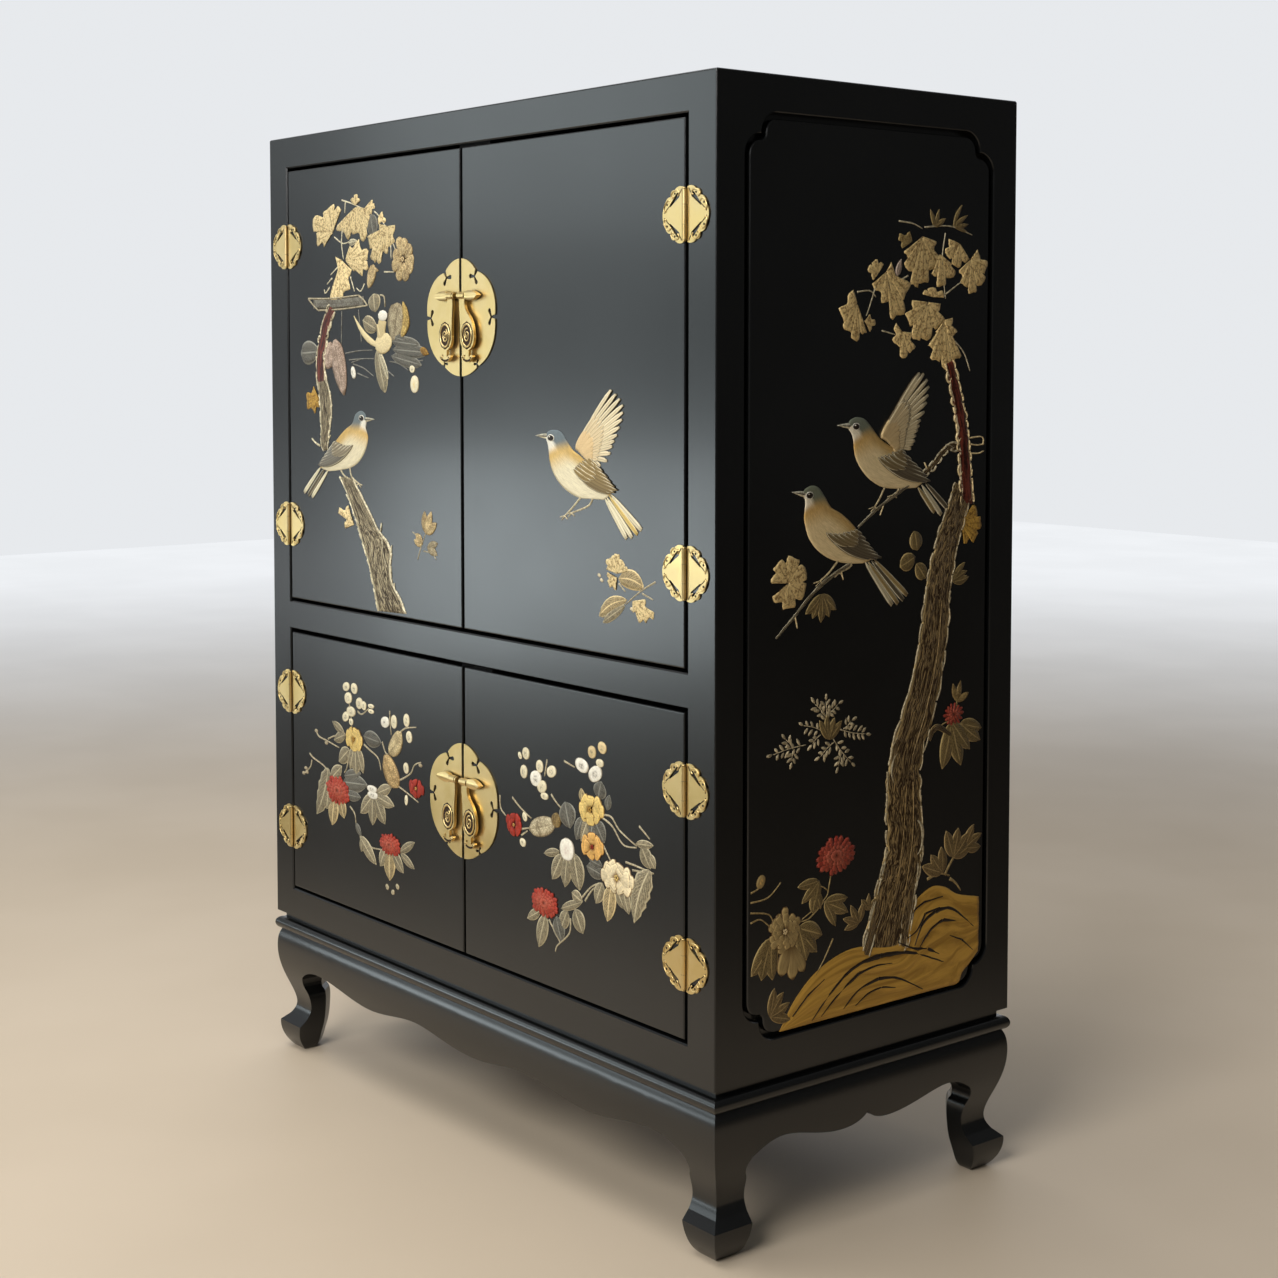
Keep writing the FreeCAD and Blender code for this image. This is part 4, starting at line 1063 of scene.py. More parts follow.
class Bird:
    """A small songbird drawn from its key lines, each from the beak towards the tail."""

    def __init__(self, d, lines, warmth, tail_tints, wing_tint):
        self.d = d
        self.lines = {name: vectors(points) for name, points in lines.items() if name != "legs"}
        self.legs_at = lines["legs"]
        self.warmth = warmth
        self.tail_tints = tail_tints
        self.wing_tint = wing_tint
        root, tip = self.lines["beak"]
        self.hand = 1 if tip.x < root.x else -1

    def body_tint(self, s, t):
        """Slate crown, white throat, warm breast, cream belly; s is 1 along the back."""
        d = self.d
        slate = d.mixed("slate", WARM_CROWN, self.warmth)
        throat = d.mixed("white", "gold", 0.4 * self.warmth)
        warm = blend(d.mixed("orange", "yellow", 0.55), d.mixed("orange", "olive", 0.35), self.warmth)
        belly = d.mixed("cream", d.mixed("orange", "yellow", 0.4), 0.60 * self.warmth)
        under = blend(warm, belly, step(0.38, 0.60, t - 0.10 * s))
        back = d.mixed(warm, "olive", 0.25 + 0.2 * self.warmth)
        torso = blend(under, back, step(0.25, 0.85, s))
        head = blend(throat, slate, step(0.02, 0.30, s + 0.10 * step(0.26, 0.40, t)))
        return blend(head, torso, step(0.28, 0.42, t - 0.13 * s))

    def body(self):
        back, breast = self.lines["back"], self.lines["breast"]

        def place(s, t):
            spot = flow(breast, t).lerp(flow(back, t), 0.5 + s / 2)
            round_off = math.sqrt(max(0.0, 1 - 0.96 * s * s)) * min(1.0, 0.35 + 6 * t)
            return Vector((spot.x, spot.y, LEAF_BASE + 2.0 * self.d.high * round_off * (1 - 0.45 * t)))

        self.d.sheet(16, 36, place, "down", self.body_tint, "cream")

    def plumes(self, roots, tips, count, reach, width, tint, lift, swell, kind="feather", bend=0.0,
               lip="cream"):
        """A row of feathers from one line to a share of the way to another, the first on top."""
        roots, tips = self.lines[roots], self.lines[tips]
        for i in reversed(range(count)):
            k = i / (count - 1)
            base = flow(roots, k)
            tone = tint(k) if callable(tint) else tint
            tip = base.lerp(flow(tips, k), reach)
            self.d.leaf(base, tip, width, kind, self.d.vary(tone, 0.06), swell, bend * self.hand, 0.55,
                        lift + 0.10 * (count - i), cells=(4, 9), lip=lip)

    def tail(self):
        count = len(self.tail_tints)
        self.plumes("tail_roots", "tail_tips", count, 1.0, 8.4,
                    lambda k: self.tail_tints[round(k * (count - 1))], 0.3, swell=(0.35, 0.10))

    def folded_wing(self):
        d = self.d
        dark = d.mixed("umber", self.wing_tint, 0.45)
        pale = d.mixed("cream", "olive", 0.35 * self.warmth)
        covert = d.mixed(self.wing_tint, "olive", 0.4)
        self.plumes("wing_roots", "wing_tips", 8, 1.0, 8.6, lambda k: d.mixed(dark, self.wing_tint, k),
                    1.5 * d.high, swell=(0.42, 0.42), bend=-0.06, lip=pale)
        self.plumes("wing_roots", "wing_tips", 6, 0.50, 8.0, covert,
                    2.1 * d.high, swell=(0.5, 0.5), bend=-0.05, lip=pale)

    def raised_wing(self):
        d = self.d
        pale = d.mixed("cream", "olive", 0.45 * self.warmth)
        tan = d.mixed(d.mixed("cream", "orange", 0.55), "olive", 0.5 * self.warmth)
        count = len(self.lines["fan_tips"])
        self.plumes("fan_roots", "fan_tips", count, 1.0, 6.8, blend(pale, tan, 0.3), 0.5,
                    swell=(0.6, 0.22), bend=0.02, lip=pale)
        self.plumes("fan_roots", "fan_tips", count, 0.58, 8.0, blend(pale, tan, 0.6), 1.2,
                    swell=(0.4, 0.3), bend=0.02, lip=pale)
        self.plumes("fan_roots", "fan_tips", 8, 0.34, 11.0, tan, 1.9, (0.4, 0.4), "down")

    def head(self):
        d = self.d
        root, tip = self.lines["beak"]
        ahead = (tip - root) * 0.2
        d.leaf(root - ahead + Vector((0, -1.2)), tip, 5.2, "line", d.mixed("cream", "slate", 0.45),
               (0.15, 0.75), high=0.9, lift=0.9)
        d.leaf(root - ahead + Vector((0, 1.6)), tip - ahead * 0.6, 4.0, "line", "cream",
               (0.15, 0.75), high=0.8, lift=0.7)
        d.stem([root - ahead, root + ahead * 2.8], 1.3, 0.7, "line", "ink", 0.3, 1.7)
        eye, corner = self.lines["eye"]
        wide, tall = 2 * (corner.x - eye.x), 2 * (corner.y - eye.y)
        d.bead(eye, wide * 1.18, tall * 1.22, 0, "line", "white", 0.5, 1.75 * d.high)
        d.bead(eye, wide, tall, 0, "line", "ink", 0.6, 1.95 * d.high)
        glint = eye + Vector((-0.15 * wide, -0.2 * tall))
        d.bead(glint, 0.22 * wide, 0.22 * tall, 0, "line", "white", 0.3, 2.5 * d.high)

    def legs(self):
        d = self.d
        tint = d.mixed("cream", "olive", 0.3 + 0.5 * self.warmth)
        for line in self.legs_at:
            d.stem(line, 3.0, 2.2, "line", tint, 0.9, 0.1)
            foot = Vector(line[-1])
            for across, down in TOES:
                toe = foot + Vector((across * self.hand, down))
                d.stem([foot, toe], 2.2, 1.0, "line", tint, 0.9, 0.2)

    def draw(self):
        self.tail()
        self.legs()
        if "fan_tips" in self.lines:
            self.raised_wing()
        self.body()
        self.head()
        self.folded_wing()


# Where the sheets of the doors and panels start, past the case and inside the overhang of the moulding
MOULDING_OVERHANG = 2.5
SHEET_MARGIN = 20.0
SHEET_ABOVE = 19.5
SHEET_LEFT = cad_low.x / MM + MOULDING_OVERHANG - SHEET_MARGIN
SHEET_FRONT = DOOR_FACE - SHEET_MARGIN
SHEET_TOP = cad_high.z / MM + SHEET_ABOVE


def front_sheet(face, left=0.0, top=0.0):
    """Drawing millimetres to a face that looks forward, in metres, from the corner of the sheet."""
    turn = Matrix(((1, 0, 0, left), (0, 0, -1, face), (0, -1, 0, top), (0, 0, 0, 1)))
    return Matrix.Scale(MM, 4) @ turn


def panel_sheet(hand):
    """Drawing millimetres to a side panel, in metres; hand is 1 on the right and -1 on the left."""
    outward = (0, 0, hand, hand * PANEL_FACE)
    turn = Matrix((outward, (1, 0, 0, SHEET_FRONT), (0, -1, 0, SHEET_TOP), (0, 0, 0, 1)))
    return Matrix.Scale(MM, 4) @ turn


class DoorArt:
    """Shared by the operators that decorate a door."""

    def draw_on(self, context, body, parts):
        for name, seed, draw in parts:
            d = Drawing(context.scene.cabinet_paints, seed)
            draw(d)
            d.finish(f"{body}_{name}", body, front_sheet(DOOR_FACE, SHEET_LEFT, SHEET_TOP))
        return {"FINISHED"}


class CABINET_OT_upper_left_art(Operator, DoorArt):
    """Raise the tree and the perched bird on the upper left door"""
    bl_idname = "cabinet.upper_left_art"
    bl_label = "Decorate the upper left door"

    def execute(self, context):
        return self.draw_on(context, "upper_left_door", (
            ("tree", 11, self.tree), ("leaves", 12, self.leaves), ("pavilion", 13, self.pavilion),
            ("bird", 14, self.bird), ("sprig", 15, self.sprig)))

    def tree(self, d):
        trunk(d, [(214, 292), (193, 320), (184, 346), (176, 372), (180, 412)], 20, 26, "maroon", "maroon",
              "cream", 7, 6, 1.5, 0.0, 0.10)
        bole(d, ((166, 402), (174, 440), (176, 473), (176, 502), (184, 514)),
             ((194, 402), (208, 431), (209, 460), (201, 490), (196, 512)), "bark", "beige", "cream", 6)
        bole(d, ((232, 552), (252, 574), (275, 612), (288, 633), (308, 668), (323, 698), (333, 728),
                 (342, 750)),
             ((272, 552), (298, 580), (347, 629), (368, 641), (381, 660), (377, 684), (385, 708),
              (407, 728), (421, 747)),
             "bark", "beige", "cream", 10)
        twigs(d, (((347, 630), (351, 628), (353, 616)), ((173, 506), (160, 502), (148, 495)),
                  ((355, 635), (359, 662), (369, 683)), ((298, 600), (318, 640), (340, 690), (360, 740))),
              3.0, 1.6, "cream", 1.0)
        vine_leaf(d, (274, 624), ((228, 604), (252, 597), (246, 626)))

    def leaves(self, d):
        twigs(d, (((244, 128), (274, 135), (305, 144)), ((255, 132), (253, 148)),
                  ((246, 170), (243, 193), (248, 218)), ((221, 183), (246, 194), (267, 192)),
                  ((240, 225), (209, 241)), ((214, 246), (198, 255)), ((206, 260), (193, 269), (190, 263)),
                  ((338, 150), (352, 158), (372, 176)), ((388, 197), (405, 220)), ((384, 201), (385, 222)),
                  ((365, 241), (392, 242)), ((268, 245), (280, 268)), ((309, 257), (298, 268), (286, 263))),
              2.4, 1.5, "cream")
        for heart, tips in (
                ((218, 176), ((188, 194), (168, 187), (158, 158), (206, 137), (238, 139))),
                ((287, 140), ((230, 172), (254, 183), (286, 182), (310, 191), (330, 168), (328, 150))),
                ((376, 174), ((352, 176), (322, 196), (332, 223), (348, 227), (366, 213), (387, 202),
                              (396, 178))),
                ((254, 220), ((272, 201), (298, 198), (320, 212), (320, 232), (306, 239), (282, 234))),
                ((243, 219), ((228, 224), (216, 280), (236, 278), (258, 267), (270, 240))),
                ((285, 139), ((273, 128), (287, 122), (297, 130))),
                ((310, 145), ((334, 134), (340, 142), (332, 152))),
                ((350, 160), ((354, 169), (370, 166), (362, 154)))):
            vine_leaf(d, heart, tips, lift=0.0 if len(tips) > 3 else 0.2)
        blossom(d, (418, 224), 33, "gold", 9, 2, "grain", "gold")
        d.leaf((329, 154), (337, 186), 30, "vein", "grey", (0.6, 0.6))
        d.leaf((264, 194), (289, 192), 10, "vein", "cream", lift=0.2)
        d.leaf((320, 264), (337, 230), 22, "grain", "gold", (0.6, 0.4), lift=0.2)
        d.leaf((334, 236), (350, 239), 8, "grain", "gold", (0.3, 0.9), lift=0.3)

    def pavilion(self, d):
        d.stem([(156, 285), (230, 285), (306, 283)], 15, 15, "grain", "grey", 0.8, 0, 0.0, 4)
        twigs(d, (((140, 276), (215, 277), (291, 274)), ((140, 276), (155, 286), (171, 295)),
                  ((171, 295), (244, 294), (317, 290)), ((291, 274), (306, 281), (317, 290)),
                  ((353, 275), (365, 278), (367, 293))), 2.6, 2.0, "beige", 0.4)
        twigs(d, (((242, 297), (240, 347)), ((291, 296), (299, 345)), ((251, 362), (290, 358), (330, 357)),
                  ((262, 372), (300, 370), (334, 370)), ((269, 376), (295, 371)),
                  ((274, 378), (304, 384), (333, 396)), ((287, 392), (319, 399)),
                  ((379, 374), (404, 377), (430, 387)), ((369, 386), (391, 396)),
                  ((396, 370), (436, 374), (470, 372)), ((404, 352), (440, 356), (474, 356))),
              2.0, 1.3, "grey")
        d.leaf((172, 359), (116, 362), 38, "vein", "grey", (0.7, 0.5))
        vine_leaf(d, (170, 430), ((152, 417), (132, 430), (133, 445), (152, 452), (168, 446)), "ochre")
        d.leaf((208, 344), (198, 386), 36, "grain", "mauve", (0.6, 0.6), lift=0.2)
        d.leaf((220, 341), (248, 426), 40, "grain", "mauve", (0.40, 0.60), lift=0.4)
        d.leaf((340, 300), (335, 273), 34, "vein", "beige", (0.7, 0.5))
        d.leaf((344, 326), (304, 312), 26, "vein", "beige", (0.7, 0.6))
        d.leaf((390, 346), (405, 288), 50, "grain", "beige", (0.7, 0.45))
        d.leaf((408, 343), (417, 286), 20, "grain", "yellow", (0.6, 0.5), -0.22, teeth=6, cut=0.2, lift=0.3)
        for root, tip, width in (
                ((386, 344), (462, 350), 20), ((388, 356), (484, 361), 22), ((384, 366), (466, 379), 20),
                ((392, 338), (428, 344), 16)):
            d.leaf(root, tip, width, "vein", "grey", (0.6, 0.6), lift=0.1)
        d.leaf((462, 356), (486, 363), 12, "grain", "ochre", lift=0.3)
        d.leaf((344, 356), (366, 420), 30, "vein", "beige", (0.5, 0.5))
        d.leaf((350, 362), (374, 400), 14, "vein", "cream", (0.5, 0.6), lift=0.2)
        pale = d.mixed("yellow", "cream", 0.55)
        d.leaf((350, 352), (278, 305), 10, "down", pale, (0.5, 0.9), 0.09, lift=0.4)
        d.leaf((358, 348), (344, 318), 9, "down", pale, (0.5, 0.8), -0.08, lift=0.5)
        d.stem([(361, 312), (356, 328), (358, 346)], 20, 24, "down", d.mixed(pale, "olive", 0.4), 1.2, 0.3,
               across=6)
        d.bead((362, 347), 50, 32, -8, "down", pale, 1.6, 0.3)
        d.bead((361, 306), 27, 17, 0, "down", "white", 1.5, 0.5)
        bud(d, (275, 391), 20, 13, 70, "white")
        bud(d, (441, 384), 15, 13, 0, "cream")
        bud(d, (447, 407), 23, 26, 4, "cream", "yellow")

    def bird(self, d):
        Bird(d, PERCHED, 0.1, ("cream", "umber", "cream"), "grey").draw()

    def sprig(self, d):
        twigs(d, (((452, 664), (464, 640), (482, 612)), ((464, 640), (448, 628), (438, 624)),
                  ((468, 650), (490, 652), (502, 660))), 2.0, 1.2)
        fan(d, (474, 624), (-95, -65, -30), 36, 15, "gold", "grain")
        fan(d, (466, 640), (190, 215), 26, 12, "gold", "grain")
        fan(d, (478, 644), (-15, 20), 30, 13, "beige", "grain")


class CABINET_OT_upper_right_art(Operator, DoorArt):
    """Raise the flying bird and its sprig on the upper right door"""
    bl_idname = "cabinet.upper_right_art"
    bl_label = "Decorate the upper right door"

    def execute(self, context):
        return self.draw_on(context, "upper_right_door",
                            (("bird", 21, self.bird), ("sprig", 22, self.sprig)))

    def bird(self, d):
        Bird(d, HOVERING, 0.0, ("cream", "cream", "yellow", "cream"), "olive").draw()

    def sprig(self, d):
        twigs(d, (((1004, 650), (975, 664), (943, 684)), ((977, 667), (999, 673)), ((929, 658), (943, 668)),
                  ((940, 684), (916, 694), (894, 706))), 2.6, 1.5)
        vine_leaf(d, (926, 646), ((904, 640), (903, 630), (914, 624), (925, 620), (938, 629), (948, 638)))
        vine_leaf(d, (926, 651), ((905, 648), (908, 661), (921, 667)), lift=0.2)
        d.leaf((929, 652), (980, 658), 26, "vein", "gold", (0.6, 0.6), 0.08)
        d.leaf((946, 678), (888, 704), 20, "vein", "gold", (0.7, 0.6), -0.08)
        d.leaf((942, 686), (896, 712), 13, "vein", "beige", (0.7, 0.6), lift=0.2)
        vine_leaf(d, (958, 678), ((984, 678), (1001, 694), (989, 700), (976, 703), (962, 692)), lift=0.1)
        for spot in ((888, 651), (893, 657), (956, 689)):
            d.bead(spot, 8, 5, 20, "petal", "cream", 0.9)


class CABINET_OT_lower_left_art(Operator, DoorArt):
    """Raise the flowering branch on the lower left door"""
    bl_idname = "cabinet.lower_left_art"
    bl_label = "Decorate the lower left door"

    def execute(self, context):
        return self.draw_on(context, "lower_left_door", (
            ("twigs", 31, self.branch), ("leaves", 32, self.leaves), ("flowers", 33, self.flowers)))

    def branch(self, d):
        twigs(d, (((297, 960), (314, 966), (338, 975), (346, 992)), ((387, 1007), (416, 1014), (450, 1024)),
                  ((397, 1000), (428, 985), (440, 970), (458, 963)), ((350, 948), (359, 963), (367, 965)),
                  ((372, 898), (373, 914), (376, 934)), ((400, 927), (417, 918), (445, 913)),
                  ((279, 911), (292, 914), (313, 902)), ((153, 960), (162, 967), (185, 970), (223, 976)),
                  ((189, 967), (207, 960), (239, 951)), ((131, 998), (143, 1004), (170, 1010), (191, 1018)),
                  ((138, 1008), (133, 1020), (112, 1035)), ((251, 980), (247, 1002), (238, 1013)),
                  ((254, 1063), (268, 1072), (272, 1088)), ((300, 1112), (319, 1116), (346, 1114)),
                  ((252, 896), (258, 914), (262, 938))), 3.0, 1.8, "beige", 0.1)
        for spot in ((153, 959), (184, 974), (456, 968), (112, 1033), (122, 1030), (119, 1024)):
            d.bead(spot, 11, 6, 0, "petal", "beige", 0.9)

    def leaves(self, d):
        foliage(d, (
            ((239, 951), (203, 937), 14, "beige", 0.1), ((243, 952), (208, 966), 18, "beige", 0.2),
            ((254, 974), (222, 998), 26, "beige", 0.0), ((270, 966), (256, 1004), 22, "beige", 0.2),
            ((272, 966), (275, 1015), 25, "beige", 0.3), ((276, 966), (295, 1005), 22, "beige", 0.2),
            ((296, 947), (348, 950), 26, "grey", 0.0), ((196, 1030), (231, 1004), 24, "beige", 0.1),
            ((234, 1028), (306, 1021), 30, "grey", 0.0), ((240, 1046), (287, 1044), 18, "grey", 0.1),
            ((238, 1018), (288, 1006), 18, "grey", 0.1), ((192, 1040), (184, 1079), 28, "beige", 0.1),
            ((208, 1058), (200, 1102), 30, "gold", 0.2), ((226, 1056), (237, 1085), 24, "gold", 0.2),
            ((324, 1034), (286, 1068), 24, "beige", 0.1), ((322, 1036), (321, 1081), 27, "beige", 0.2),
            ((328, 1035), (357, 1073), 29, "beige", 0.1), ((332, 1034), (383, 1041), 20, "beige", 0.2),
            ((334, 1030), (376, 1013), 19, "beige", 0.1), ((271, 1086), (287, 1104), 12, "grey", 0.0),
            ((283, 1104), (331, 1140), 23, "beige", 0.1), ((293, 1105), (287, 1128), 16, "beige", 0.0),
            ((369, 1110), (369, 1157), 32, "gold", 0.2), ((376, 1110), (408, 1138), 22, "beige", 0.1),
            ((358, 1110), (342, 1140), 22, "beige", 0.1), ((398, 1108), (439, 1086), 14, "beige", 0.1),
            ((400, 1110), (438, 1126), 14, "beige", 0.1)))
        d.leaf((190, 1014), (152, 1093), 44, "vein", d.vary("beige"), (0.6, 0.9), 0.06, 0.9, 0.0, teeth=5,
               cut=0.22, cells=(4, 15))
        for spot, turn in (((362, 1168), 40), ((378, 1173), -20), ((391, 1162), 30)):
            bud(d, spot, 10, 8, turn, "beige")

    def flowers(self, d):
        for spot, wide, tall, turn in (
                ((246, 877), 21, 14, -15), ((270, 877), 20, 17, 5), ((252, 894), 23, 18, -12),
                ((285, 898), 21, 18, -14), ((298, 900), 15, 14, 10), ((319, 898), 18, 7, 0),
                ((319, 906), 17, 7, 0), ((260, 914), 27, 16, 0), ((244, 924), 22, 15, -25),
                ((260, 930), 13, 11, 0), ((384, 913), 17, 21, 0), ((419, 906), 17, 20, 4),
                ((426, 930), 17, 18, -14), ((417, 978), 15, 17, -10), ((417, 1026), 9, 16, 4)):
            bud(d, spot, wide, tall, turn)
        bud(d, (359, 917), 25, 17, -10, "white")
        d.leaf((404, 926), (370, 964), 30, "grain", d.mixed("cream", "yellow", 0.4),
               (0.5, 0.5), 0.06, 1.2, 0.2)
        d.leaf((356, 968), (396, 1010), 38, "grain", d.mixed("gold", "orange", 0.3),
               (0.5, 0.5), -0.05, 1.2, 0.2)
        bud(d, (321, 1025), 30, 11, 0, "white", lift=0.6)
        bud(d, (323, 1034), 31, 12, 0, "white", lift=0.5)
        blossom(d, (269, 956), 29, "yellow", 9, 3, lift=0.4, squash=0.68)
        aster(d, (219, 1044), 38, "red", 0.63, 20, 4, 10, 0.6)
        blossom(d, (445, 1004), 21, "red", 7, 2, heart="orange", lift=0.2, squash=0.64)
        aster(d, (371, 1102), 30, "red", 0.60, 18, 4, 0, 0.6)


class CABINET_OT_lower_right_art(Operator, DoorArt):
    """Raise the flowering branch on the lower right door"""
    bl_idname = "cabinet.lower_right_art"
    bl_label = "Decorate the lower right door"

    def execute(self, context):
        return self.draw_on(context, "lower_right_door", (
            ("twigs", 41, self.branch), ("leaves", 42, self.leaves), ("flowers", 43, self.flowers)))

    def branch(self, d):
        twigs(d, (((772, 911), (766, 935)), ((810, 907), (834, 912)), ((781, 957), (791, 965), (803, 972)),
                  ((660, 978), (662, 996), (675, 1005)), ((690, 976), (710, 988), (735, 998)),
                  ((712, 1017), (731, 1012)), ((711, 1026), (726, 1017)),
                  ((888, 967), (912, 965), (931, 980), (966, 994)),
                  ((892, 969), (915, 977), (938, 997), (966, 996)), ((971, 967), (993, 980)),
                  ((896, 1006), (914, 1026)), ((943, 1019), (966, 1020), (1001, 1023)),
                  ((957, 1027), (979, 1025), (998, 1024)),
                  ((824, 1118), (823, 1136), (811, 1149), (794, 1162), (790, 1171)),
                  ((849, 1085), (869, 1067), (886, 1058)), ((856, 1088), (872, 1070), (889, 1061)),
                  ((775, 1130), (801, 1156))), 3.0, 1.8, "beige", 0.1)

    def leaves(self, d):
        d.leaf((730, 1014), (790, 996), 28, "grain", d.mixed("cream", "beige", 0.4), (0.5, 0.5), high=1.1)
        d.leaf((794, 980), (791, 1001), 22, "grain", "olive", (0.6, 0.5), lift=0.2)
        foliage(d, (
            ((812, 962), (824, 996), 38, "grey", 0.0), ((886, 946), (892, 922), 28, "grey", 0.0),
            ((904, 958), (909, 937), 14, "grey", 0.1), ((852, 956), (848, 938), 13, "gold", 0.2),
            ((851, 976), (837, 1009), 22, "grey", 0.0), ((864, 976), (848, 1009), 26, "beige", 0.1),
            ((872, 976), (872, 1006), 26, "grey", 0.0), ((878, 976), (899, 1002), 28, "grey", 0.1),
            ((860, 1040), (899, 1046), 22, "grey", 0.0), ((866, 1030), (894, 1034), 16, "grey", 0.1),
            ((800, 1032), (764, 1041), 12, "beige", 0.1), ((807, 1034), (783, 1073), 24, "beige", 0.1),
            ((817, 1036), (812, 1078), 25, "beige", 0.2), ((832, 1028), (845, 1076), 34, "beige", 0.1),
            ((894, 1056), (880, 1086), 22, "beige", 0.1), ((913, 1054), (905, 1105), 28, "gold", 0.2),
            ((925, 1058), (942, 1081), 20, "beige", 0.1), ((938, 1056), (950, 1086), 20, "beige", 0.0),
            ((964, 991), (1000, 987), 12, "beige", 0.1), ((976, 992), (995, 1018), 24, "beige", 0.2),
            ((990, 1000), (1004, 1016), 16, "beige", 0.1), ((756, 1122), (725, 1139), 15, "beige", 0.1),
            ((768, 1124), (752, 1173), 26, "beige", 0.2), ((792, 1122), (805, 1154), 28, "grey", 0.0),
            ((827, 1082), (851, 1090), 18, "beige", 0.1), ((803, 1109), (851, 1090), 13, "beige", 0.2),
            ((834, 1103), (852, 1133), 28, "beige", 0.1), ((817, 1109), (803, 1138), 22, "beige", 0.0)))
        d.leaf((992, 1020), (961, 1095), 40, "vein", d.vary("beige"), (0.6, 0.9), -0.06, 0.9, 0.2, teeth=5,
               cut=0.25, cells=(4, 15))

    def flowers(self, d):
        for spot, wide, tall, turn, tint in (
                ((723, 910), 17, 17, 4, "cream"), ((709, 915), 8, 11, -40, "cream"),
                ((718, 936), 17, 19, 6, "cream"), ((755, 923), 17, 18, -6, "cream"),
                ((782, 926), 23, 16, -20, "cream"), ((746, 941), 27, 22, -10, "white"),
                ((760, 950), 23, 17, -20, "cream"), ((766, 962), 18, 10, 0, "cream"),
                ((872, 886), 18, 17, -8, "gold"), ((894, 877), 19, 16, 14, "gold"),
                ((889, 898), 17, 11, 0, "cream"), ((720, 998), 11, 14, -20, "cream"),
                ((715, 1035), 15, 12, 10, "cream"), ((850, 907), 30, 19, 10, "white"),
                ((879, 914), 31, 21, -24, "white")):
            bud(d, spot, wide, tall, turn, tint)
        blossom(d, (869, 963), 29, "yellow", 8, 3, lift=0.3, squash=0.74)
        bud(d, (817, 1026), 33, 31, -4, "white", "mauve", lift=0.4)
        blossom(d, (874, 1012), 25, "orange", 7, 3, heart="red", lift=0.4, squash=0.78)
        blossom(d, (926, 1043), 37, d.mixed("cream", "gold", 0.45), 10, 3, lift=0.4, heart="yellow",
                squash=0.62)
        blossom(d, (695, 1014), 20, "red", 7, 2, heart="orange", lift=0.3, squash=0.85)
        aster(d, (766, 1109), 33, "red", 0.63, 20, 4, 6, 0.6)


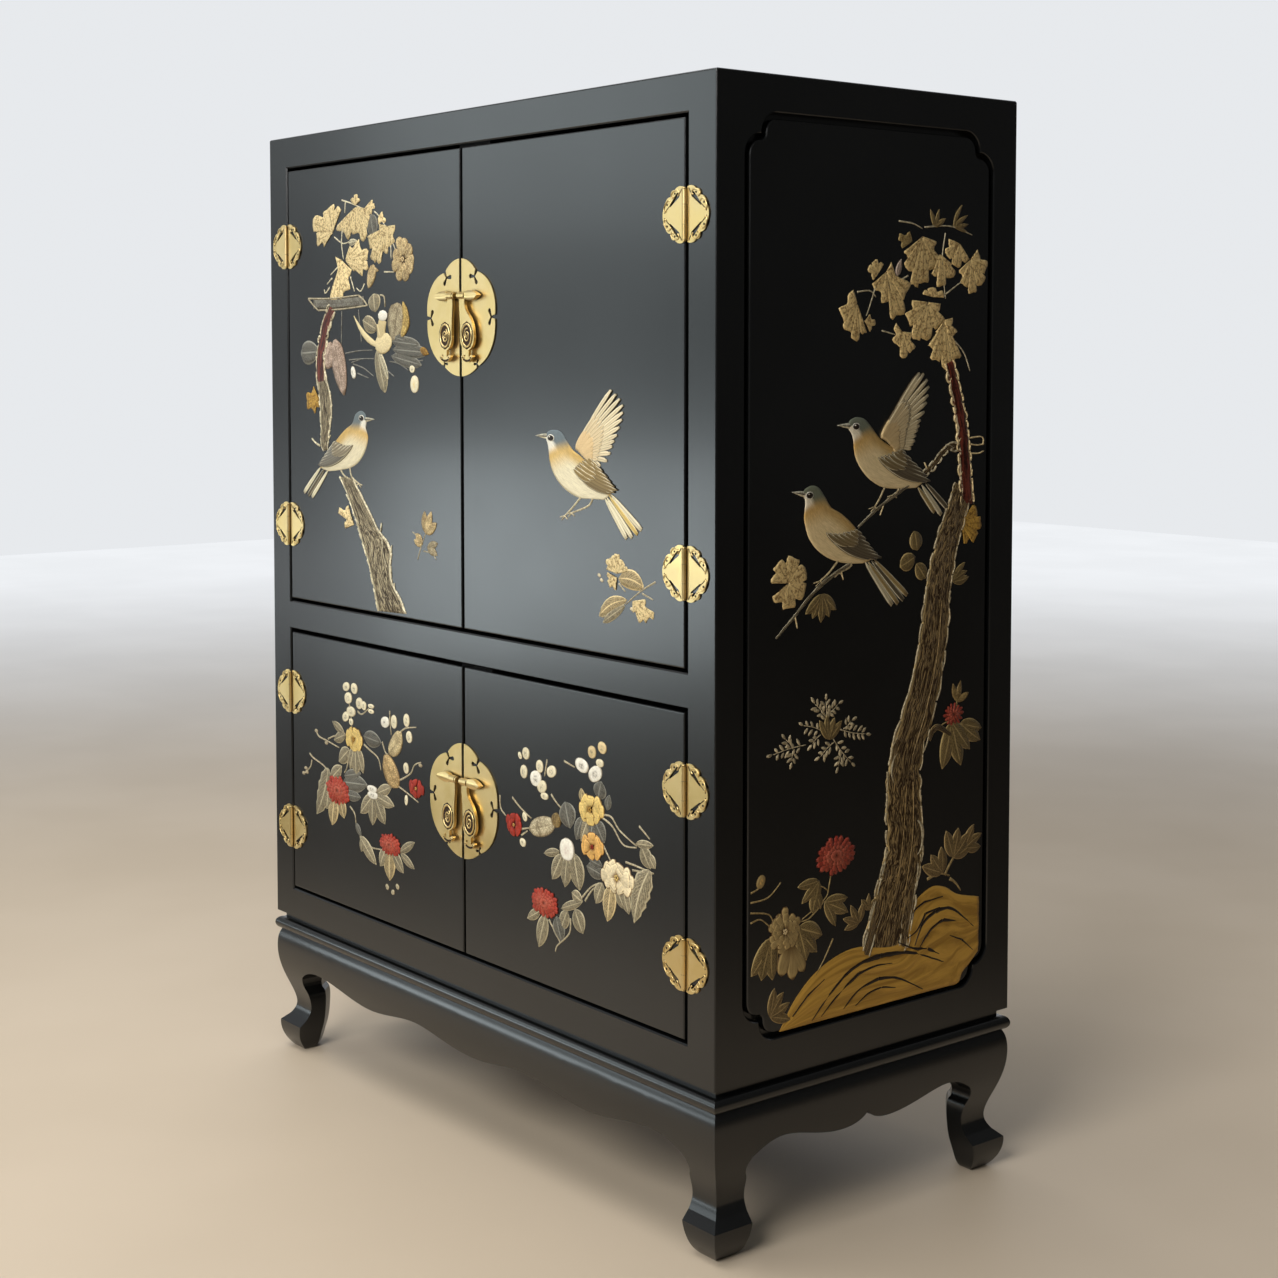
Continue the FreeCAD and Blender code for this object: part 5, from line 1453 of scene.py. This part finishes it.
class CABINET_OT_side_art(Operator):
    """Raise the tree, birds, flowers and rock on the side panels"""
    bl_idname = "cabinet.side_art"
    bl_label = "Decorate the side panels"

    def execute(self, context):
        parts = (("tree", 51, self.tree), ("crown", 52, self.crown), ("birds", 53, self.birds),
                 ("leaves", 54, self.leaves), ("flowers", 55, self.flowers), ("rock", 56, self.rock))
        for side, hand in HANDS.items():
            for name, seed, draw in parts:
                d = Drawing(context.scene.cabinet_paints, seed)
                draw(d)
                d.finish(f"{side}_panel_{name}", "case", panel_sheet(hand))
        return {"FINISHED"}

    def tree(self, d):
        trunk(d, [(430, 374), (446, 422), (456, 460), (462, 507), (468, 566)], 16, 24, "maroon", "maroon",
              "gold", 13, 6, 1.5, 0.3, 0.10)
        trunk(d, [(460, 542), (442, 584), (424, 630), (412, 680), (404, 742), (384, 820), (352, 900),
                  (350, 960), (352, 1020), (334, 1078), (312, 1152)], 34, 78, "bark", "bark",
              d.mixed("beige", "bark", 0.35), 24, 12, 1.9)
        d.stem([(352, 884), (332, 892), (326, 916), (336, 940)], 5, 5, "line", "beige", 1.2, 0.4)
        d.stem([(374, 982), (384, 994), (384, 1020), (374, 1030)], 5, 5, "line", "beige", 1.2, 0.4)
        d.stem([(440, 876), (412, 862), (396, 876)], 6, 10, "bark", "bark", 1.2, 0.3, 0.06, 4)
        trunk(d, [(330, 1020), (312, 1066), (280, 1150)], 20, 14, "bark", "bark", "beige", 5, 4, 1.3, 0.1)
        trunk(d, [(366, 1040), (362, 1094), (350, 1152)], 22, 16, "bark", "bark", "beige", 5, 4, 1.3, 0.1)
        trunk(d, [(466, 488), (428, 488), (404, 508), (380, 524)], 9, 7, "bark", "bark", "beige", 6, 4, 1.2)
        d.stem([(380, 524), (340, 542), (300, 562), (262, 586)], 6, 3, "bark", "beige", 1.0, 0, 0.10, 4)
        d.stem([(252, 632), (212, 648), (180, 668), (152, 692), (120, 718)], 6, 3, "bark", "beige", 1.0, 0,
               0.10, 2)
        twigs(d, (((152, 692), (156, 708)), ((308, 560), (302, 572)), ((232, 640), (236, 652)),
                  ((390, 516), (384, 506)), ((470, 476), (496, 475), (498, 486)),
                  ((472, 484), (488, 486), (500, 484)), ((470, 496), (488, 497), (500, 494))), 2.2, 1.4,
              "gold", 0.4)
        twigs(d, (((418, 690), (411, 760), (392, 830), (362, 900)),
                  ((354, 930), (348, 1000), (338, 1060), (318, 1110)),
                  ((366, 930), (366, 1000), (352, 1080))), 2.0, 1.4, "bark", 1.6)

    def crown(self, d):
        twigs(d, (((333, 191), (359, 193), (377, 199)), ((381, 197), (430, 194), (473, 204)),
                  ((421, 203), (415, 241), (422, 290)), ((422, 284), (454, 266)), ((351, 261), (330, 270)),
                  ((292, 274), (284, 294), (275, 314)), ((303, 333), (328, 338)),
                  ((441, 346), (459, 362), (471, 386)), ((258, 284), (281, 282), (292, 290)),
                  ((426, 380), (422, 360), (424, 330))), 2.2, 1.3, "beige")
        fan(d, (400, 196), (250, 290, 330), 26, 8, "olive")
        fan(d, (436, 194), (-60, -30, -8, 14), 32, 6, "olive")
        for heart, tips in (
                ((258, 299), ((246, 285), (230, 314), (239, 333), (255, 346), (272, 337))),
                ((271, 321), ((282, 314), (291, 323), (283, 333))),
                ((310, 257), ((323, 251), (350, 282), (340, 312), (325, 317), (313, 297), (288, 278))),
                ((296, 259), ((303, 246), (289, 243), (278, 253), (285, 266))),
                ((377, 209), ((345, 233), (349, 253), (362, 275), (378, 271), (406, 247), (402, 220))),
                ((410, 231), ((432, 246), (438, 259), (413, 274), (398, 260))),
                ((448, 216), ((427, 214), (423, 231), (442, 247), (464, 239))),
                ((470, 236), ((486, 227), (502, 246), (494, 268), (474, 282), (457, 272), (449, 255))),
                ((389, 295), ((358, 297), (350, 319), (364, 344), (383, 344), (414, 324), (412, 301))),
                ((396, 288), ((380, 282), (395, 276), (418, 284))),
                ((420, 318), ((436, 319), (438, 340), (446, 370), (427, 384), (401, 372), (395, 356),
                              (406, 337))),
                ((340, 334), ((327, 327), (329, 350), (344, 368), (361, 358), (358, 339)))):
            vine_leaf(d, heart, tips, d.mixed("gold", "ochre", 0.35))
        vine_leaf(d, (358, 216), ((350, 205), (333, 211), (338, 224)), "olive")
        d.leaf((330, 262), (338, 240), 10, "vein", "mauve")

    def birds(self, d):
        Bird(d, SIDE_HOVERING, 0.8, ("olive", "beige", "umber"), "umber").draw()
        Bird(d, SIDE_PERCHED, 0.9, ("beige", "olive", "umber", "olive"), "umber").draw()

    def leaves(self, d):
        vine_leaf(d, (140, 650), ((112, 644), (122, 624), (150, 618), (170, 636), (168, 664), (142, 682),
                                  (116, 670)),
                  d.mixed("gold", "ochre", 0.35))
        fan(d, (198, 668), (40, 66, 92, 118, 140), 34, 15, "olive", "vein", lift=0.1)
        for spot, tip, width in (
                ((366, 596), (372, 622), 24), ((368, 630), (340, 642), 24), ((370, 640), (388, 660), 22)):
            d.leaf(spot, tip, width, "vein", "olive", (0.7, 0.6))
        vine_leaf(d, (456, 590), ((464, 568), (486, 572), (496, 592), (486, 612), (466, 618)), "ochre")
        fan(d, (440, 668), (-8, -24, -45), 34, 11, "olive")
        for root, tip, pairs in (
                ((206, 836), (207, 806), 3), ((206, 826), (188, 808), 2), ((206, 824), (228, 812), 2),
                ((202, 844), (168, 833), 2), ((198, 848), (184, 858), 1), ((232, 845), (278, 856), 4),
                ((238, 845), (252, 836), 1), ((220, 856), (252, 890), 3), ((222, 860), (198, 876), 2),
                ((236, 874), (230, 892), 1), ((172, 858), (116, 864), 4), ((150, 861), (138, 848), 1),
                ((152, 861), (148, 876), 1)):
            spray(d, root, tip, pairs + 1, 10, d.mixed("beige", "bark", 0.3))
        fan(d, (212, 856), (-122, -96, -70, -44), 31, 11, "olive", lift=0.3)
        twigs(d, (((452, 846), (450, 826), (446, 812)), ((396, 876), (418, 862), (436, 856))),
              2.2, 1.4, "olive")
        fan(d, (452, 832), (-110, -78, -25), 28, 10, "olive", "grain")
        fan(d, (440, 858), (105, 72, 48), 62, 26, "olive", lift=0.1)
        fan(d, (458, 862), (14, 34), 46, 22, "olive", lift=0.1)
        twigs(d, (((218, 1026), (214, 1046), (206, 1062), (166, 1082)),
                  ((206, 1064), (180, 1082), (160, 1084)), ((79, 1034), (92, 1030), (100, 1022)),
                  ((79, 1046), (108, 1044), (130, 1028)), ((79, 1059), (110, 1066), (118, 1082)),
                  ((79, 1072), (96, 1070), (116, 1086)), ((190, 1040), (204, 1046), (212, 1052)),
                  ((222, 1116), (206, 1140), (190, 1160))), 2.4, 1.4, "olive")
        bud(d, (96, 1022), 14, 18, 30, "olive", "orange")
        fan(d, (196, 1036), (175, 140, 105), 40, 15, "olive", lift=0.1)
        fan(d, (190, 1048), (70, 100), 28, 16, "olive", lift=0.1)
        fan(d, (206, 1066), (60, 25, 0), 44, 17, "olive", lift=0.1)
        fan(d, (114, 1096), (128, 108, 88), 58, 25, "olive", lift=0.1)
        fan(d, (160, 1092), (20, 48, 72), 50, 24, "olive", lift=0.1)
        fan(d, (112, 1197), (-78, -50, -20, 16), 36, 15, "bark", lift=0.1)
        fan(d, (268, 1104), (170, 200, 240, 290), 30, 11, "bark", lift=0.1)
        fan(d, (286, 1090), (230, 270, 320), 24, 9, "bark", lift=0.1)
        twigs(d, (((430, 1066), (446, 1046), (470, 1030), (496, 1024)),
                  ((396, 1066), (420, 1062), (440, 1068)), ((440, 1072), (452, 1080), (462, 1092))), 4.5,
              2.0, "olive")
        fan(d, (426, 1062), (200, 230, 265), 40, 17, "bark", lift=0.1)
        fan(d, (446, 1044), (-110, -75, -45, -20), 42, 20, "bark", lift=0.1)
        fan(d, (470, 1034), (-60, -25, 5), 34, 14, "bark", lift=0.1)

    def flowers(self, d):
        crimson = d.mixed("red", "maroon", 0.45)
        aster(d, (444, 848), 20, crimson, 0.8, 14, 3, 0, 0.5)
        aster(d, (226, 1008), 36, crimson, 0.72, 20, 4, 0, 0.4)
        blossom(d, (136, 1092), 30, "olive", 13, 4, "petal", "gold", lift=0.4)
        fan(d, (144, 1106), (58, 82, 108), 50, 22, "olive", "petal", (0.8, 0.5), lift=0.2)

    def rock(self, d):
        top = vectors(((128, 1219), (156, 1182), (196, 1152), (250, 1136), (300, 1139), (344, 1140),
                       (360, 1112), (374, 1092), (404, 1078), (430, 1082), (456, 1096), (498, 1106)))
        low = vectors(((131, 1219.6), (180, 1219.6), (230, 1219.6), (280, 1219.6), (320, 1219.6),
                       (360, 1219.6), (400, 1219.6), (430, 1219.6), (457, 1219), (466, 1206), (480, 1196),
                       (497.5, 1182)))

        def place(s, t):
            spot = flow(low, t).lerp(flow(top, t), 0.5 + s / 2)
            swell = math.sqrt(max(0.0, 1 - 0.9 * s * s)) * min(1.0, 8 * t + 0.1)
            fold = 0.30 * math.sin(9 * s + 14 * t) + 0.18 * math.sin(21 * s - 9 * t)
            return Vector((spot.x, spot.y, 0.15 + d.high * swell * (1.2 + fold)))

        d.sheet(30, 60, place, "rock", "ochre")
        for line, wide in (
                (((184, 1216), (220, 1184), (260, 1160), (308, 1154), (364, 1160), (428, 1184)), 6.5),
                (((200, 1214), (232, 1190), (268, 1170), (300, 1166), (330, 1168)), 4.5),
                (((240, 1212), (268, 1192), (304, 1184), (340, 1190), (388, 1214)), 4.5),
                (((262, 1212), (286, 1200), (310, 1196), (336, 1202)), 3.2),
                (((372, 1152), (388, 1124), (412, 1112), (444, 1114), (488, 1146)), 6.0),
                (((378, 1160), (402, 1136), (426, 1126), (452, 1132)), 5.0),
                (((356, 1140), (376, 1132), (392, 1112), (420, 1108)), 4.0),
                (((340, 1142), (372, 1156), (396, 1160), (420, 1172)), 5.5),
                (((366, 1116), (372, 1104), (390, 1096), (426, 1094)), 2.4),
                (((150, 1204), (176, 1182), (206, 1166)), 2.6),
                (((440, 1150), (464, 1160), (486, 1178)), 2.4)):
            half = len(line) // 2
            d.stem(line[:half + 1], 1.0, wide, "line", "ink", 0.5, 1.25 * d.high, 0.12, 2)
            d.stem(line[half:], wide, 1.0, "line", "ink", 0.5, 1.25 * d.high, 0.12, 2)


# Places and sizes of the hinges and pulls, in millimetres, from how far they stand proud of the doors
LEAF_PROUD = 1.8
DROP_PROUD = 9.9
HINGE_X = 493.5
HINGE_HEIGHTS = {"upper": (864.0, 1306.0), "lower": (373.0, 593.0)}
LEAF_WIDE, LEAF_TALL = 44.0, 35.0
BOSS_X = 27.6
BOSS_BELOW = 25.5
FOOT_BELOW = 33.0
PULL_BOW = ((-12, -2.4), (-6, 1.4), (0, 2.6), (6, 1.4), (12, -2.4))
# Scrolls of a quarter of a hinge leaf, in shares of its size: line, both widths, paint, tint and height
HINGE_SCROLLS = (
    (((0.34, 0.66), (0.28, 0.74), (0.32, 0.84), (0.44, 0.86), (0.56, 0.80), (0.62, 0.68), (0.56, 0.60),
      (0.50, 0.66)), 2.0, 1.5, "brass", "brass", 0.9),
    (((0.62, 0.42), (0.70, 0.52), (0.80, 0.50), (0.90, 0.36), (0.93, 0.22), (0.88, 0.12), (0.82, 0.18)),
     1.9, 1.4, "brass", "brass", 0.9),
    (((0.16, 0.90), (0.22, 0.78), (0.30, 0.70)), 1.6, 1.0, "ground", "patina", 0.25),
    (((0.64, 0.36), (0.78, 0.24), (0.92, 0.08)), 1.0, 1.4, "ground", "patina", 0.25),
)
HINGE_HOLLOWS = ((0.46, 0.75), (0.80, 0.38))


def middle(node):
    low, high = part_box(node)
    return (low + high) / 2 / MM


def spiral(centre, wide, tall, turns, start, hand, inner, steps=14):
    """Points from the rim of an oval in to its middle."""
    count = int(turns * steps)
    spots = []
    for i in range(count + 1):
        k = i / count
        way = heading(start + hand * 360 * turns * k, 1 - (1 - inner) * k)
        spots.append(Vector(centre) + Vector((way.x * wide, way.y * tall)))
    return spots


class CABINET_OT_scrolls(Operator):
    """Raise the scrolls on the pulls and the hinges"""
    bl_idname = "cabinet.scrolls"
    bl_label = "Chase the brass scrolls"

    def execute(self, context):
        settings = context.scene.cabinet_brass
        for row in ROWS:
            for side, hand in HANDS.items():
                d = Drawing(settings, 61)
                self.pull(d, hand, f"{row}_{side}_face_plate")
                d.finish(f"{row}_{side}_drop_scroll", f"{row}_{side}_drop",
                         front_sheet(DOOR_FACE - DROP_PROUD))
                d = Drawing(settings, 62)
                self.hinges(d, row, hand, -hand)
                d.finish(f"{row}_{side}_door_leaf_scrolls", f"{row}_{side}_door",
                         front_sheet(DOOR_FACE - LEAF_PROUD))
        for side, hand in HANDS.items():
            d = Drawing(settings, 63)
            for row in ROWS:
                self.hinges(d, row, hand, hand)
            d.finish(f"{side}_frame_leaf_scrolls", "case", front_sheet(DOOR_FACE - LEAF_PROUD))
        return {"FINISHED"}

    def pull(self, d, hand, plate):
        """Oval boss with a ring round a swirl, and a curl at the foot."""
        centre = Vector((hand * BOSS_X, BOSS_BELOW - middle(plate).z))
        d.bead(centre, 31.0, 39.6, 0, "ground", "patina", 0.25)
        ring = spiral(centre, 11.8, 15.8, 1.0, -90, hand, 1.0, 36)
        d.stem(ring, 3.0, 3.0, "brass", "brass", 1.0, 0.1, pace=1.6, across=4)
        swirl = spiral(centre, 7.0, 10.2, 1.9, -70, -hand, 0.1)
        d.stem(swirl, 2.2, 1.6, "brass", "brass", 0.8, 0.1, pace=1.0)
        foot = centre + Vector((0, FOOT_BELOW))
        bow = [foot + spot for spot in vectors(PULL_BOW)]
        d.stem(bow, 3.0, 3.0, "ground", "patina", 0.2, 0.0, pace=1.2)
        for end in (-1, 1):
            curl = spiral(foot + Vector((end * 9.2, -1.6)), 3.2, 2.6, 1.1, 90, -end, 0.3, 10)
            d.stem(curl, 1.5, 1.1, "brass", "brass", 0.7, 0.1, pace=0.9)

    def hinges(self, d, row, hand, way):
        """C-scrolls between the plain lozenge of each leaf and its scalloped border."""
        for z in HINGE_HEIGHTS[row]:
            for up in (-1, 1):
                def at(u, v):
                    return Vector((hand * HINGE_X + way * u * LEAF_WIDE, -z - up * v * LEAF_TALL))
                for line, first, last, kind, tint, high in HINGE_SCROLLS:
                    d.stem([at(*spot) for spot in line], first, last, kind, tint, high, 0.0, pace=1.2)
                for spot in HINGE_HOLLOWS:
                    d.bead(at(*spot), 3.4, 3.0, 0, "ground", "patina", 0.3)


class CABINET_PT_sidebar(Panel):
    """Lists the steps that dress the cabinet"""
    bl_label = "Cabinet"
    bl_idname = "CABINET_PT_sidebar"
    bl_space_type = "VIEW_3D"
    bl_region_type = "UI"
    bl_category = "Cabinet"

    def draw(self, context):
        for step in STEPS:
            self.layout.operator(step.bl_idname)


STEPS = (
    CABINET_OT_lacquer, CABINET_OT_brass, CABINET_OT_scrolls, CABINET_OT_upper_left_art,
    CABINET_OT_upper_right_art, CABINET_OT_lower_left_art, CABINET_OT_lower_right_art,
    CABINET_OT_side_art, CABINET_OT_stage,
)
GROUPS = {
    "cabinet_lacquer": LacquerSettings, "cabinet_brass": BrassSettings,
    "cabinet_paints": PaintSettings, "cabinet_stage": StageSettings,
}


def register():
    for cls in (*GROUPS.values(), *STEPS, CABINET_PT_sidebar):
        bpy.utils.register_class(cls)
    for name, group in GROUPS.items():
        setattr(bpy.types.Scene, name, PointerProperty(type=group))


def unregister():
    for name in GROUPS:
        delattr(bpy.types.Scene, name)
    for cls in reversed((*GROUPS.values(), *STEPS, CABINET_PT_sidebar)):
        bpy.utils.unregister_class(cls)


def main():
    register()
    bpy.ops.cabinet.lacquer()
    bpy.ops.cabinet.brass()
    bpy.ops.cabinet.scrolls()
    bpy.ops.cabinet.upper_left_art()
    bpy.ops.cabinet.upper_right_art()
    bpy.ops.cabinet.lower_left_art()
    bpy.ops.cabinet.lower_right_art()
    bpy.ops.cabinet.side_art()
    bpy.ops.cabinet.stage()


if __name__ == "__main__":
    main()
